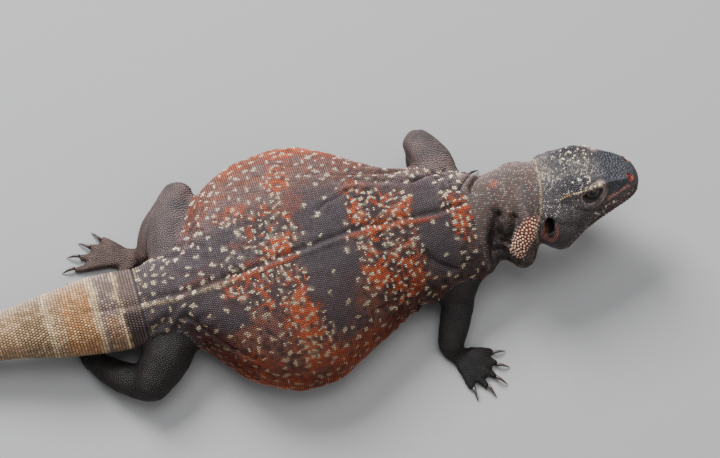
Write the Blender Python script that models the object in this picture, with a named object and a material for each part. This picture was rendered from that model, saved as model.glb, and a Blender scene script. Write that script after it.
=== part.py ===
# A life-size chuckwalla, lying flat on the floor with its body puffed out and its head raised.
# +X runs from tail to head, +Y to the animal's left, +Z up. The origin is on the floor, under
# the middle of the belly. Sizes are in millimetres here, and become metres as meshes are made.
import math

import bmesh
import bpy
import numpy as np
from mathutils import Euler, Matrix, Vector

MM = 0.001
GAP = 0.3  # kept between neighbouring pieces
FLOOR_BLOCK = 400.0

# The trunk, from tail tip to neck root. Each row is one cross-section, square to X:
# x, y of the spine, height of the widest line, reach left, right, up and down from there.
TRUNK = (
    (-246.0, 29.5, 1.3, 0.9, 0.9, 0.9, 0.9),
    (-236.0, 26.6, 2.4, 2.3, 2.3, 2.3, 2.6),
    (-215.0, 21.2, 3.9, 3.9, 3.9, 3.9, 4.1),
    (-190.0, 15.8, 5.2, 5.3, 5.3, 5.2, 5.4),
    (-165.0, 11.2, 6.5, 6.6, 6.6, 6.4, 6.8),
    (-145.0, 8.0, 9.0, 7.6, 7.6, 7.3, 7.6),
    (-128.0, 5.7, 12.4, 8.6, 8.6, 8.1, 8.2),
    (-110.0, 3.6, 15.6, 9.6, 9.6, 8.9, 8.9),
    (-98.0, 2.3, 16.8, 12.0, 11.8, 9.8, 9.6),
    (-84.0, 0.6, 17.0, 15.4, 13.0, 10.6, 10.2),
    (-72.0, -0.9, 16.5, 17.8, 13.2, 11.4, 11.0),
    (-59.0, -2.6, 16.0, 18.6, 11.8, 12.0, 12.2),
    (-46.0, -4.6, 15.5, 22.5, 13.0, 16.0, 14.0),
    (-38.0, -5.6, 15.0, 29.0, 18.5, 18.5, 15.5),
    (-30.0, -5.8, 15.0, 41.5, 29.5, 20.5, 16.0),
    (-20.0, -5.8, 15.0, 48.5, 36.5, 22.5, 16.5),
    (-8.0, -5.3, 15.0, 52.3, 41.9, 24.0, 17.0),
    (4.0, -4.2, 15.0, 51.8, 42.6, 24.5, 17.0),
    (15.0, -3.0, 15.0, 48.2, 39.0, 24.3, 17.0),
    (26.0, -1.6, 15.2, 40.4, 34.6, 23.3, 17.0),
    (38.0, 0.0, 16.0, 30.4, 29.4, 21.0, 17.0),
    (50.0, 0.0, 17.0, 25.2, 26.4, 19.0, 15.5),
    (60.0, 0.0, 18.0, 22.4, 25.8, 17.5, 13.5),
    (68.0, 0.0, 19.5, 17.6, 24.8, 16.5, 12.5),
)
# Where the trunk is parted: name, first x, last x, rings, corners in a ring
TRUNK_PARTS = (
    ("tail_4", -246.0, -205.0, 8, 14),
    ("tail_3", -205.0, -155.0, 8, 16),
    ("tail_2", -155.0, -106.0, 9, 18),
    ("tail_1", -106.0, -59.0, 10, 24),
    ("torso", -59.0, 68.0, 27, 36),
)

# The head's own frame: base of the skull, and how it is turned there
HEAD_BASE = Vector((92.0, -1.6, 31.0))
HEAD_YAW = math.radians(-7.0)
HEAD_PITCH = math.radians(7.0)
HEAD_ROLL = math.radians(-22.0)
HEAD_CORNERS = 36

# The neck, from the trunk (0) to the skull (1): share of the way, left, right, up, down
NECK = (
    (0.0, 17.6, 24.8, 16.5, 12.5),
    (0.16, 15.6, 23.8, 15.8, 13.0),
    (0.37, 12.6, 20.8, 15.0, 13.8),
    (0.66, 13.6, 22.0, 13.6, 15.6),
    (0.86, 13.2, 21.6, 12.6, 15.2),
    (1.0, 12.2, 18.8, 11.6, 13.4),
)
NECK_RINGS = 19
# Folds and grooves in the neck's skin: place at the nape and at the throat, reach, height
NECK_FOLDS = (
    (0.10, 0.05, 0.07, 1.0),
    (0.58, 0.50, 0.06, -0.9),
    (0.80, 0.72, 0.08, 0.9),
)
# Loose skin that hangs at the side of the throat: place along the neck, reach, angle, reach in
# angle, and its height on the left and on the right, where the turned neck bunches it
POUCH = (0.72, 0.26, -38.0, 34.0, 2.0, 6.4)
# How much narrower the skull's base is on the left, and wider on the right, where skin bunches
BASE_LEFT = -2.4
BASE_RIGHT = 4.6
BASE_LENGTH = 7.0

# The skull, from its base to the snout tip: x, half width, middle, up, down, taper to the top
HEAD = (
    (0.0, 14.6, -1.0, 12.4, 11.8, 0.10),
    (4.0, 17.8, -2.4, 13.4, 11.6, 0.26),
    (9.0, 19.8, -3.6, 14.6, 10.4, 0.34),
    (14.0, 18.2, -3.9, 15.2, 8.8, 0.31),
    (19.0, 15.4, -3.6, 14.5, 7.3, 0.25),
    (24.0, 12.8, -3.2, 12.8, 6.4, 0.20),
    (29.0, 10.6, -2.8, 10.7, 5.6, 0.14),
    (34.0, 8.6, -2.2, 8.2, 4.8, 0.08),
    (38.0, 6.4, -1.6, 5.6, 3.9, 0.04),
    (39.9, 4.0, -1.1, 3.6, 2.9, 0.0),
    (40.5, 1.8, -0.8, 1.7, 1.6, 0.0),
)
HEAD_RINGS = 26
# Forms raised or sunk on each side of the skull: x, angle above level, reach along x, reach in
# angle, height
HEAD_FORMS = (
    (19.0, 50.0, 7.0, 10.0, 3.2),  # brow ridge
    (30.0, 44.0, 5.5, 10.0, 1.0),  # ridge from brow to nostril
    (25.0, 20.0, 5.0, 11.0, -0.9),  # hollow in front of the eye
    (15.0, 24.0, 3.5, 10.0, -0.8),  # hollow behind the eye
    (21.0, 2.0, 6.0, 12.0, 0.7),  # cheek under the eye
    (7.0, -32.0, 6.5, 18.0, 3.0),  # jaw muscle
    (6.0, 66.0, 5.0, 12.0, 0.4),  # back of the skull
    (26.0, -2.0, 9.0, 9.0, 0.5),  # upper lip
    (26.0, -34.0, 9.0, 9.0, 0.5),  # lower lip
)
# The line of the mouth in side view, from under the jaw to the snout: x, z
MOUTH_LINE = (
    (2.0, -17.0),
    (6.0, -13.6),
    (9.0, -10.6),
    (12.5, -8.0),
    (17.0, -6.2),
    (23.0, -5.1),
    (30.0, -4.0),
    (36.0, -2.9),
    (44.0, -2.2),
)

EYE_PLACE = Vector((22.0, 7.3, 4.9))
EYE_RADIUS = 3.8
LID_THICKNESS = 0.6
LID_OPENING = Vector((3.5, 2.8, 2.2))  # half sizes of the almond between the lids
EAR_PLACE = Vector((4.4, 16.6, -0.5))
EAR_HALF = Vector((2.3, 3.2, 3.9))
EAR_TILT = math.radians(14.0)
NOSTRIL_PLACE = Vector((37.0, 4.0, 3.2))
NOSTRIL_HALF = Vector((1.35, 1.6, 1.15))

# Legs, root to ankle. Each row of a stretch is x, y, z, half width, half height.
LIMBS = {
    "upper_arm_left": (
        (64.0, 9.0, 19.5, 7.5, 7.5),
        (62.0, 23.0, 20.5, 8.0, 7.8),
        (58.8, 33.0, 20.5, 7.0, 6.8),
    ),
    "forearm_left": (
        (58.5, 31.5, 19.0, 6.0, 6.0),
        (58.5, 29.0, 11.0, 5.5, 5.2),
        (59.0, 24.0, 4.6, 4.0, 3.6),
    ),
    "upper_arm_right": (
        (65.0, -9.0, 18.5, 7.5, 7.5),
        (62.5, -18.0, 17.0, 7.9, 7.6),
        (57.5, -25.0, 14.8, 7.0, 6.8),
    ),
    "forearm_right": (
        (57.5, -24.5, 13.8, 6.8, 6.2),
        (54.5, -33.0, 9.4, 6.6, 5.6),
        (49.0, -43.0, 4.8, 5.0, 3.8),
    ),
    "thigh_left": (
        (-43.0, 5.0, 16.0, 6.5, 7.5),
        (-42.5, 22.0, 15.8, 9.6, 9.2),
        (-35.5, 40.0, 13.6, 7.2, 7.0),
    ),
    "shin_left": (
        (-36.5, 39.5, 12.0, 6.0, 5.8),
        (-45.5, 33.0, 8.5, 6.2, 5.4),
        (-53.0, 24.5, 4.6, 3.9, 3.6),
    ),
    "thigh_right": (
        (-45.0, -8.0, 16.0, 7.5, 7.5),
        (-53.5, -18.5, 14.2, 10.0, 9.2),
        (-62.5, -28.0, 11.4, 7.8, 7.6),
    ),
    "shin_right": (
        (-64.5, -28.0, 9.5, 6.6, 6.0),
        (-74.0, -20.5, 7.4, 6.4, 5.4),
        (-82.5, -11.5, 4.3, 3.8, 3.5),
    ),
}
LIMB_RINGS = 6
LIMB_CORNERS = 12
KNOB_RINGS = 2  # rounding at each end of a stretch

# Hands and feet: heel, heading from +X, side (+1 left, -1 right), sole length and half width
FEET = {
    "hand_left": ((59.0, 23.0), -30.0, 1, 8.4, 4.9),
    "hand_right": ((49.0, -44.0), -46.0, -1, 8.4, 4.9),
    "foot_left": ((-53.0, 24.5), 166.0, 1, 12.0, 4.6),
    "foot_right": ((-83.0, -10.0), 102.0, -1, 12.5, 4.6),
}
SOLE_HEIGHT = 4.6
# Toes one to five: turn from the heading towards the outer side, length without the claw
FINGERS = ((-32.0, 7.0), (-15.0, 10.0), (1.0, 12.0), (16.0, 11.5), (34.0, 8.0))
TOES = ((-34.0, 6.5), (-17.0, 10.0), (-3.0, 13.5), (9.0, 15.5), (44.0, 10.0))
TOE_RADIUS = 2.05
TOE_TIP_RADIUS = 1.4
TOE_CORNERS = 6
TOE_RINGS = 5
CLAW_LENGTH = 4.6
CLAW_RADIUS = 0.95
CLAW_TIP_RADIUS = 0.25
CLAW_CORNERS = 5
CLAW_RINGS = 3

SKIN_COLOURS = {
    "tail": (0.50, 0.40, 0.24),
    "torso": (0.26, 0.10, 0.06),
    "dark": (0.085, 0.07, 0.065),
    "eye": (0.03, 0.022, 0.016),
    "claw": (0.035, 0.028, 0.024),
}


def material(name, colour, roughness):
    found = bpy.data.materials.get(name) or bpy.data.materials.new(name)
    found.use_nodes = True
    shader = found.node_tree.nodes["Principled BSDF"]
    shader.inputs["Base Color"].default_value = (*colour, 1.0)
    shader.inputs["Roughness"].default_value = roughness
    shader.inputs["Metallic"].default_value = 0.0
    return found


def eased(table, places):
    """A table whose first column rises, read at places by a cubic that doesn't overshoot."""
    rows = np.array(table, float)
    knots, values = rows[:, 0], rows[:, 1:]
    step = np.diff(knots)[:, None]
    rise = np.diff(values, axis=0) / step
    slope = np.zeros_like(values)
    slope[0], slope[-1] = rise[0], rise[-1]
    same_way = rise[:-1] * rise[1:] > 0
    total = rise[:-1] + rise[1:]
    slope[1:-1] = np.where(same_way, 2 * rise[:-1] * rise[1:] / np.where(same_way, total, 1.0), 0.0)
    places = np.atleast_1d(places)
    i = np.clip(np.searchsorted(knots, places) - 1, 0, len(knots) - 2)
    t = ((places - knots[i]) / step[i, 0])[:, None]
    h = step[i]
    return (
        (1 + 2 * t) * (1 - t) ** 2 * values[i]
        + t * (1 - t) ** 2 * h * slope[i]
        + t**2 * (3 - 2 * t) * values[i + 1]
        - t**2 * (1 - t) * h * slope[i + 1]
    )


def oval(corners, left, right, up, down, fullness_up=2.0, fullness_down=2.0):
    """Corners of a ring as (y, z), from the left round over the top. A fullness over 2 is boxier."""
    angle = 2 * math.pi * np.arange(corners) / corners
    c, s = np.cos(angle), np.sin(angle)
    power = 2.0 / np.where(s > 0, fullness_up, fullness_down)
    y = np.where(c > 0, left, right) * np.sign(c) * np.abs(c) ** power
    z = np.where(s > 0, up, down) * np.sign(s) * np.abs(s) ** power
    return np.stack([y, z], axis=1)


def blend(a, b, share):
    """Eases from a to b as share goes from 0 to 1."""
    share = np.clip(share, 0.0, 1.0)
    return a + (b - a) * share * share * (3 - 2 * share)


def link(mesh, name, skin):
    made = bpy.data.objects.new(name, mesh)
    bpy.context.scene.collection.objects.link(made)
    mesh.materials.append(skin)
    return made


def loft(name, rings, skin):
    """A closed body through rings of corners, all with the same number of corners."""
    bm = bmesh.new()
    loops = [[bm.verts.new(Vector(p) * MM) for p in ring] for ring in rings]
    count = len(loops[0])
    for first, second in zip(loops, loops[1:]):
        for i in range(count):
            j = (i + 1) % count
            bm.faces.new((first[i], first[j], second[j], second[i]))
    bm.faces.new(list(reversed(loops[0])))
    bm.faces.new(loops[-1])
    ends = [f for f in bm.faces if len(f.verts) > 4]
    bmesh.ops.poke(bm, faces=ends)
    bmesh.ops.recalc_face_normals(bm, faces=bm.faces)
    mesh = bpy.data.meshes.new(name)
    bm.to_mesh(mesh)
    bm.free()
    mesh.shade_smooth()
    return link(mesh, name, skin)


def helper(made):
    made.hide_render = True
    made.display_type = "WIRE"
    return made


def grown(source, by=GAP):
    """A copy of a body, its surface moved out, to cut its neighbours clear of it."""
    bm = bmesh.new()
    bm.from_mesh(source.data)
    bm.normal_update()
    for vert in bm.verts:
        vert.co += vert.normal * by * MM
    mesh = bpy.data.meshes.new(source.name + "_grown")
    bm.to_mesh(mesh)
    bm.free()
    made = bpy.data.objects.new(mesh.name, mesh)
    bpy.context.scene.collection.objects.link(made)
    return helper(made)


def join_or_cut(target, others, operation):
    """One Boolean with a collection of closed bodies, applied. The others are removed."""
    group = bpy.data.collections.new("group")
    bpy.context.scene.collection.children.link(group)
    for other in others:
        bpy.context.scene.collection.objects.unlink(other)
        group.objects.link(other)
    modifier = target.modifiers.new(operation.lower(), "BOOLEAN")
    modifier.operation = operation
    modifier.operand_type = "COLLECTION"
    modifier.collection = group
    modifier.solver = "EXACT"
    graph = bpy.context.evaluated_depsgraph_get()
    mesh = bpy.data.meshes.new_from_object(target.evaluated_get(graph))
    target.modifiers.clear()
    target.data = mesh
    for other in others:
        bpy.data.objects.remove(other)
    bpy.data.collections.remove(group)
    keep_largest(target)


def keep_largest(target):
    """Drops loose scraps, and the inner shells of sealed hollows."""
    bm = bmesh.new()
    bm.from_mesh(target.data)
    left = set(bm.faces)
    shells = []
    while left:
        shell, queue = set(), [left.pop()]
        while queue:
            face = queue.pop()
            shell.add(face)
            for edge in face.edges:
                for near in edge.link_faces:
                    if near in left:
                        left.remove(near)
                        queue.append(near)
        shells.append(shell)
    shells.sort(key=lambda shell: sum(f.calc_area() for f in shell))
    for shell in shells[:-1]:
        bmesh.ops.delete(bm, geom=list(shell), context="FACES")
    bm.to_mesh(target.data)
    bm.free()
    target.data.shade_smooth()


def copy_of(source, name):
    made = source.copy()
    made.data = source.data.copy()
    made.name = made.data.name = name
    bpy.context.scene.collection.objects.link(made)
    return made


def trunk_rings(first, last, count, corners):
    rings = []
    for x in np.linspace(first, last, count):
        y, z, left, right, up, down = eased(TRUNK, x)[0]
        fuller = blend(0.0, 1.0, (x + 59.0) / 25.0) * blend(1.0, 0.0, (x - 40.0) / 28.0)
        ring = oval(corners, left, right, up, down, 2.0 + 0.12 * fuller, 2.0 + 0.5 * fuller)
        rings.append([(x, y + p[0], max(z + p[1], 0.0)) for p in ring])
    return rings


def head_matrix():
    turn = Euler((HEAD_ROLL, 0.0, 0.0)).to_matrix()
    turn = Euler((0.0, -HEAD_PITCH, HEAD_YAW)).to_matrix() @ turn
    return Matrix.Translation(HEAD_BASE) @ turn.to_4x4()


def neck_matrix(share):
    """The frame of a neck ring, which turns from the trunk's to the head's."""
    x0 = TRUNK[-1][0]
    start = Vector((x0, TRUNK[-1][1], TRUNK[-1][2]))
    place = start.lerp(HEAD_BASE, share)
    place.z = float(blend(start.z, HEAD_BASE.z, share))
    turn = Euler((HEAD_ROLL * share, 0.0, 0.0)).to_matrix()
    turn = Euler((0.0, -HEAD_PITCH * share, HEAD_YAW * share)).to_matrix() @ turn
    return Matrix.Translation(place) @ turn.to_4x4()


def neck_ring(share, corners):
    left, right, up, down = eased(NECK, share)[0]
    ring = oval(corners, left, right, up, down, 2.0 + 0.3 * share, 2.0 + 0.2 * share)
    frame = neck_matrix(share)
    points = []
    for y, z in ring:
        angle = math.atan2(z, abs(y))
        low = 0.5 - angle / math.pi  # 0 at the top of the neck, 1 at the throat
        swell = 0.0
        for top, throat, half, height in NECK_FOLDS:
            place = top + (throat - top) * low
            swell += height * math.exp(-(((share - place) / half) ** 2))
        swell *= blend(0.0, 1.0, share / 0.08) * blend(0.0, 1.0, (1.0 - share) / 0.06)
        swell *= 0.15 + 0.85 * low
        place, half, level, spread, on_left, on_right = POUCH
        away = ((share - place) / half) ** 4 + ((math.degrees(angle) - level) / spread) ** 2
        swell += (on_left if y > 0 else on_right) * math.exp(-away)
        reach = math.hypot(y, z)
        grow = 1.0 + swell / reach
        points.append(frame @ Vector((0.0, y * grow, z * grow)))
    return points


def head_ring(x, corners):
    half, middle, up, down, taper = eased(HEAD, x)[0]
    fuller = blend(0.0, 1.0, x / 9.0)
    bunched = blend(1.0, 0.0, x / BASE_LENGTH)
    left, right = half + BASE_LEFT * bunched, half + BASE_RIGHT * bunched
    ring = oval(corners, left, right, up, down, 2.2 + 0.6 * fuller, 2.2 + 0.8 * fuller)
    points = []
    for y, z in ring:
        y *= 1.0 - taper * max(0.0, z) / up
        angle = math.degrees(math.atan2(z + middle + 1.0, abs(y)))
        swell = 0.0
        for place, level, reach_x, reach_angle, height in HEAD_FORMS:
            away = ((x - place) / reach_x) ** 2 + ((angle - level) / reach_angle) ** 2
            swell += height * math.exp(-away)
        swell *= blend(0.0, 1.0, x / 3.0)
        grow = 1.0 + swell / math.hypot(y, z)
        points.append((x, y * grow, middle + z * grow))
    return points


def ball(name, place, half, skin, segments=14, rings=10, tilt=0.0, turn=0.0):
    """An oval ball, its poles to the left and right."""
    bm = bmesh.new()
    bmesh.ops.create_uvsphere(bm, u_segments=segments, v_segments=rings, radius=1.0)
    bmesh.ops.rotate(bm, verts=bm.verts, matrix=Matrix.Rotation(math.pi / 2, 3, "X"))
    bmesh.ops.scale(bm, verts=bm.verts, vec=half)
    bmesh.ops.rotate(bm, verts=bm.verts, matrix=Matrix.Rotation(tilt, 3, "Y"))
    bmesh.ops.rotate(bm, verts=bm.verts, matrix=Matrix.Rotation(turn, 3, "Z"))
    bmesh.ops.translate(bm, verts=bm.verts, vec=place)
    bmesh.ops.scale(bm, verts=bm.verts, vec=(MM, MM, MM))
    mesh = bpy.data.meshes.new(name)
    bm.to_mesh(mesh)
    bm.free()
    mesh.shade_smooth()
    return link(mesh, name, skin)


def on_side(place, side):
    return Vector((place.x, place.y * side, place.z))


def jaw_block(name, raised, skin):
    """What lies below the line of the mouth, as wide as the head and more."""
    wide, deep = 30.0, -40.0
    xs = np.linspace(MOUTH_LINE[0][0], MOUTH_LINE[-1][0], 16)
    line = [(x, eased(MOUTH_LINE, x)[0][0] + raised) for x in xs]
    rings = []
    for x, z in line:
        rings.append([(x, wide, deep), (x, wide, z), (x, -wide, z), (x, -wide, deep)])
    return loft(name, rings, skin)


def build_head(skin, eye_skin):
    rings = [head_ring(x, HEAD_CORNERS) for x in head_places()]
    head = loft("head", rings, skin)
    lids, cutters = [], []
    for side in (1, -1):
        eye = on_side(EYE_PLACE, side)
        shell = EYE_RADIUS + GAP + LID_THICKNESS
        lids.append(ball("lid", eye, (shell,) * 3, skin))
        cutters.append(ball("socket", eye, (EYE_RADIUS + GAP,) * 3, skin, 16, 12))
        outer = eye + Vector((0.4, side * shell, 0.2))
        cutters.append(ball("lid_opening", outer, LID_OPENING, skin, 14, 8, tilt=math.radians(8.0)))
        ear = on_side(EAR_PLACE, side)
        cutters.append(ball("ear_cup", ear, EAR_HALF, skin, 12, 8, tilt=EAR_TILT))
        cutters.append(ball("nostril", on_side(NOSTRIL_PLACE, side), NOSTRIL_HALF, skin, 8, 6))
    join_or_cut(head, lids, "UNION")
    join_or_cut(head, cutters, "DIFFERENCE")
    jaw = copy_of(head, "lower_jaw")
    join_or_cut(jaw, [jaw_block("below", -GAP / 2, skin)], "INTERSECT")
    join_or_cut(head, [jaw_block("below", GAP / 2, skin)], "DIFFERENCE")
    pieces = [head, jaw]
    for side, word in ((1, "left"), (-1, "right")):
        place = on_side(EYE_PLACE, side)
        pieces.append(ball("eye_" + word, place, (EYE_RADIUS,) * 3, eye_skin, 14, 10))
    frame = head_matrix()
    frame.translation = frame.translation * MM
    for piece in pieces:
        piece.data.transform(frame)
    return pieces


def head_places():
    """Ring places along the skull, closer together at the snout."""
    share = np.linspace(0.0, 1.0, HEAD_RINGS)
    return GAP / 2 + (HEAD[-1][0] - GAP / 2) * (1 - (1 - share) ** 1.25)


def stretch_rings(rows, count):
    """Rings along a smooth path. Rows are x, y, z, half width, half height."""
    rows = np.array(rows, float)
    steps = np.linalg.norm(np.diff(rows[:, :3], axis=0), axis=1)
    along = np.concatenate([[0.0], np.cumsum(steps)])
    table = np.column_stack([along, rows])
    places = np.linspace(0.0, along[-1], count)
    values = eased(table, places)
    rings = []
    for i, row in enumerate(values):
        ahead = values[min(i + 1, count - 1)][:3] - values[max(i - 1, 0)][:3]
        forward = Vector(ahead).normalized()
        side = Vector((0, 0, 1)).cross(forward).normalized()
        up = forward.cross(side)
        rings.append((Vector(row[:3]), forward, side, up, row[3], row[4]))
    return rings


def limb_rings(rows):
    """A stretch of leg, rounded off at both ends."""
    frames = stretch_rings(rows, LIMB_RINGS)
    rings = []
    for end, sign in ((frames[0], -1), (frames[-1], 1)):
        place, forward, side, up, half_width, half_height = end
        cap = []
        for i in range(KNOB_RINGS):
            angle = (i + 0.35) / (KNOB_RINGS + 0.35) * math.pi / 2
            spot = place + forward * (sign * math.cos(angle) * min(half_width, half_height))
            size = math.sin(angle)
            cap.append((spot, forward, side, up, half_width * size, half_height * size))
        rings.append(cap)
    return [ring_at(frame) for frame in rings[0] + frames + rings[1][::-1]]


def ring_at(frame, corners=LIMB_CORNERS):
    place, _, side, up, half_width, half_height = frame
    ring = []
    for i in range(corners):
        angle = 2 * math.pi * i / corners
        ring.append(place + side * (half_width * math.cos(angle)) + up * (half_height * math.sin(angle)))
    return ring


def sole_rings(heel, heading, length, half_width):
    """The flat body of a hand or foot, from behind the heel to the roots of the toes."""
    forward = Vector((math.cos(heading), math.sin(heading), 0.0))
    side = Vector((-forward.y, forward.x, 0.0))
    up = Vector((0.0, 0.0, 1.0))
    rings = []
    for share, wide, tall in (
        (-0.34, 0.30, 0.45),
        (-0.22, 0.62, 0.80),
        (0.05, 0.74, 1.0),
        (0.45, 0.82, 0.92),
        (0.80, 1.0, 0.80),
        (1.04, 0.92, 0.62),
        (1.16, 0.50, 0.34),
    ):
        half_height = SOLE_HEIGHT / 2 * tall
        place = Vector((heel[0], heel[1], half_height * 0.9)) + forward * (length * share)
        rings.append(ring_at((place, forward, side, up, half_width * wide, half_height), 10))
    return rings


def toe_frames(root, heading, length):
    """Rings of a toe, arched over its middle, with its underside near the floor."""
    forward = Vector((math.cos(heading), math.sin(heading), 0.0))
    side = Vector((-forward.y, forward.x, 0.0))
    frames = []
    for share in np.linspace(0.0, 1.0, TOE_RINGS):
        radius = TOE_RADIUS + (TOE_TIP_RADIUS - TOE_RADIUS) * share
        knuckle = 1.0 + 0.10 * math.cos(share * 5 * math.pi)
        rise = 0.9 * math.sin(math.pi * min(share * 1.15, 1.0))
        place = Vector((root.x, root.y, radius * 0.86 + rise)) + forward * (length * share)
        frames.append((place, forward, side, Vector((0, 0, 1)), radius * knuckle, radius))
    return frames


def claw_rings(frame, corners=CLAW_CORNERS):
    """A claw that leaves a toe's flat end, arches a little and comes down to a point."""
    place, forward, side, up, _, _ = frame
    rings = []
    for share in np.linspace(0.0, 1.0, CLAW_RINGS):
        radius = CLAW_RADIUS + (CLAW_TIP_RADIUS - CLAW_RADIUS) * share
        lift = 0.55 * math.sin(math.pi * share) - (place.z - CLAW_TIP_RADIUS - 0.15) * share**1.8
        spot = place + forward * (GAP + CLAW_LENGTH * share) + up * lift
        rings.append(ring_at((spot, forward, side, up, radius * 0.8, radius), corners))
    return rings


def build_foot(name, skin, claw_skin, cutters):
    heel, heading_degrees, side, length, half_width = FEET[name]
    heading = math.radians(heading_degrees)
    forward = Vector((math.cos(heading), math.sin(heading), 0.0))
    across = Vector((-forward.y, forward.x, 0.0)) * side
    foot = loft(name, sole_rings(heel, heading, length, half_width), skin)
    toes, claws = [], []
    table = FINGERS if name.startswith("hand") else TOES
    for number, (turn, toe_length) in enumerate(table, 1):
        spread = (number - 3) / 2.0  # from -1 on the inner side to +1 on the outer
        back = 0.80 if number < 5 or name.startswith("hand") else 0.45
        root = Vector((heel[0], heel[1], 0.0)) + forward * (length * back)
        root += across * (half_width * 0.72 * spread)
        frames = toe_frames(root, heading + math.radians(turn) * side, toe_length + length * 0.2)
        toes.append(loft("toe", [ring_at(f, TOE_CORNERS) for f in frames], skin))
        claws.append(loft(f"claw_{name}_{number}", claw_rings(frames[-1]), claw_skin))
    join_or_cut(foot, toes, "UNION")
    join_or_cut(foot, cutters + [floor_block()], "DIFFERENCE")
    return [foot] + claws


def floor_block():
    low = -FLOOR_BLOCK
    corners = [(low, low), (low, -low), (-low, -low), (-low, low)]
    rings = [[(x, y, z) for x, y in corners] for z in (low, 0.0)]
    return helper(loft("floor_block", rings, material("helper", (1, 1, 1), 1)))


def clear_scene():
    for old in list(bpy.data.objects):
        bpy.data.objects.remove(old)


def main():
    clear_scene()
    tail_skin = material("tail_skin", SKIN_COLOURS["tail"], 0.6)
    torso_skin = material("torso_skin", SKIN_COLOURS["torso"], 0.6)
    dark_skin = material("dark_skin", SKIN_COLOURS["dark"], 0.6)
    eye_skin = material("eye_surface", SKIN_COLOURS["eye"], 0.1)
    claw_skin = material("claw_horn", SKIN_COLOURS["claw"], 0.4)

    trunk = {}
    for name, first, last, count, corners in TRUNK_PARTS:
        skin = tail_skin if name.startswith("tail") else torso_skin
        start = first if name == "tail_4" else first + GAP / 2
        trunk[name] = loft(name, trunk_rings(start, last - GAP / 2, count, corners), skin)

    last_share = 1.0 - GAP / 2 / (HEAD_BASE.x - TRUNK[-1][0])
    first_share = 1.0 - last_share
    rings = [neck_ring(share, HEAD_CORNERS) for share in np.linspace(first_share, last_share, NECK_RINGS)]
    neck = loft("neck", rings, dark_skin)
    build_head(dark_skin, eye_skin)

    limbs = {name: loft(name, limb_rings(rows), dark_skin) for name, rows in LIMBS.items()}
    for side in ("left", "right"):
        for upper, lower, foot in (("upper_arm", "forearm", "hand"), ("thigh", "shin", "foot")):
            upper_limb = limbs[f"{upper}_{side}"]
            lower_limb = limbs[f"{lower}_{side}"]
            build_foot(f"{foot}_{side}", dark_skin, claw_skin, [grown(lower_limb)])
            neighbours = [grown(trunk["torso"]), grown(upper_limb), floor_block()]
            join_or_cut(lower_limb, neighbours, "DIFFERENCE")
            root = neck if upper == "upper_arm" else trunk["tail_1"]
            join_or_cut(upper_limb, [grown(trunk["torso"]), grown(root)], "DIFFERENCE")


main()
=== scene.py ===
# A life-size chuckwalla, lying puffed out with its head raised: one skin, real scales over it,
# eyes between their lids, and claws. Sizes are in millimetres and become metres in each mesh.
import math

import bmesh
import bpy
import numpy as np
from mathutils import Euler, Matrix, Vector
from mathutils.bvhtree import BVHTree
from mathutils.kdtree import KDTree


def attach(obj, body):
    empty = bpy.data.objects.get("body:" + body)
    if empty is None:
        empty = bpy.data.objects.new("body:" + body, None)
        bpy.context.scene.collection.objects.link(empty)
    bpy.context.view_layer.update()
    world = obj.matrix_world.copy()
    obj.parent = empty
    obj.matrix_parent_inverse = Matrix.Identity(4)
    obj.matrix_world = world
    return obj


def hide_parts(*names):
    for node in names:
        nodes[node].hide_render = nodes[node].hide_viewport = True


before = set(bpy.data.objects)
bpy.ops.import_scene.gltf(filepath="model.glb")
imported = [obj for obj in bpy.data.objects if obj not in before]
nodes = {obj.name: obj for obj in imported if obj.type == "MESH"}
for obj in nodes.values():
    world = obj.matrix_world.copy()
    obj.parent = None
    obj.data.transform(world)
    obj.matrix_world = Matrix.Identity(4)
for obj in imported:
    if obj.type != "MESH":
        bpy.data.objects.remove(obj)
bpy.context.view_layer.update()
mm = 0.001
fleshNodes = sorted(name for name in nodes if not name.startswith(("eye", "claw")))
headNodes = ("head", "lower_jaw")
trunkNodes = ("tail_4", "tail_3", "tail_2", "tail_1", "torso")
footNodes = ("hand_left", "hand_right", "foot_left", "foot_right")
limbNodes = tuple(name for name in fleshNodes if name.startswith(("upper", "forearm", "thigh", "shin")))
bothSides = (1, -1)


# small helpers

def tint(code):
    # a colour given as on a paint card, made linear
    parts = np.array([int(code[i:i + 2], 16) / 255 for i in (0, 2, 4)])
    return np.where(parts < 0.04045, parts / 12.92, ((parts + 0.055) / 1.055) ** 2.4)


def ease(low, high, value):
    share = np.clip((value - low) / (high - low), 0.0, 1.0)
    return share * share * (3 - 2 * share)


def blend(first, second, share):
    return first + (second - first) * share


def mix(first, second, share):
    # two colours, or two lists of colours, by one share for each
    return blend(first, second, np.asarray(share, float)[..., None])


def hump(value, middle, width):
    # 1 at the middle, falling away smoothly on both sides
    return np.exp(-((value - middle) / width) ** 2)


def noise(points, size, seed=0):
    # smooth value noise from -1 to 1, with features about size across
    place = points / size + seed * 7.31
    cell = np.floor(place).astype(np.int64)
    share = place - cell
    share = share * share * (3 - 2 * share)
    total = np.zeros(len(points))
    for corner in np.ndindex(2, 2, 2):
        key = (cell + corner) @ np.array([73856093, 19349663, 83492791]) + seed * 2654435
        key = (key ^ (key >> 13)) * 1274126177 & 0xFFFFFFFF
        value = ((key ^ (key >> 16)) & 0xFFFF) / 32767.5 - 1
        total += value * np.prod(np.where(corner, share, 1 - share), axis=1)
    return total


def patches(points, size, seed):
    return 0.5 + 0.5 * noise(points, size, seed)


def curve(table, places):
    # straight runs between rows, rounded off where they meet
    rows = np.array(table, float).T
    step = 2.0
    before, here, after = (np.interp(places + d, *rows) for d in (-step, 0, step))
    return here * 0.5 + (before + after) * 0.25


def eachVertex(mesh, what):
    flat = np.empty(len(mesh.vertices) * 3)
    mesh.vertices.foreach_get(what, flat)
    return flat.reshape(-1, 3)


def vertsOf(mesh):
    return eachVertex(mesh, "co") / mm


def kdTree(places):
    tree = KDTree(len(places))
    for number, place in enumerate(places):
        tree.insert(place, number)
    tree.balance()
    return tree


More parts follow.
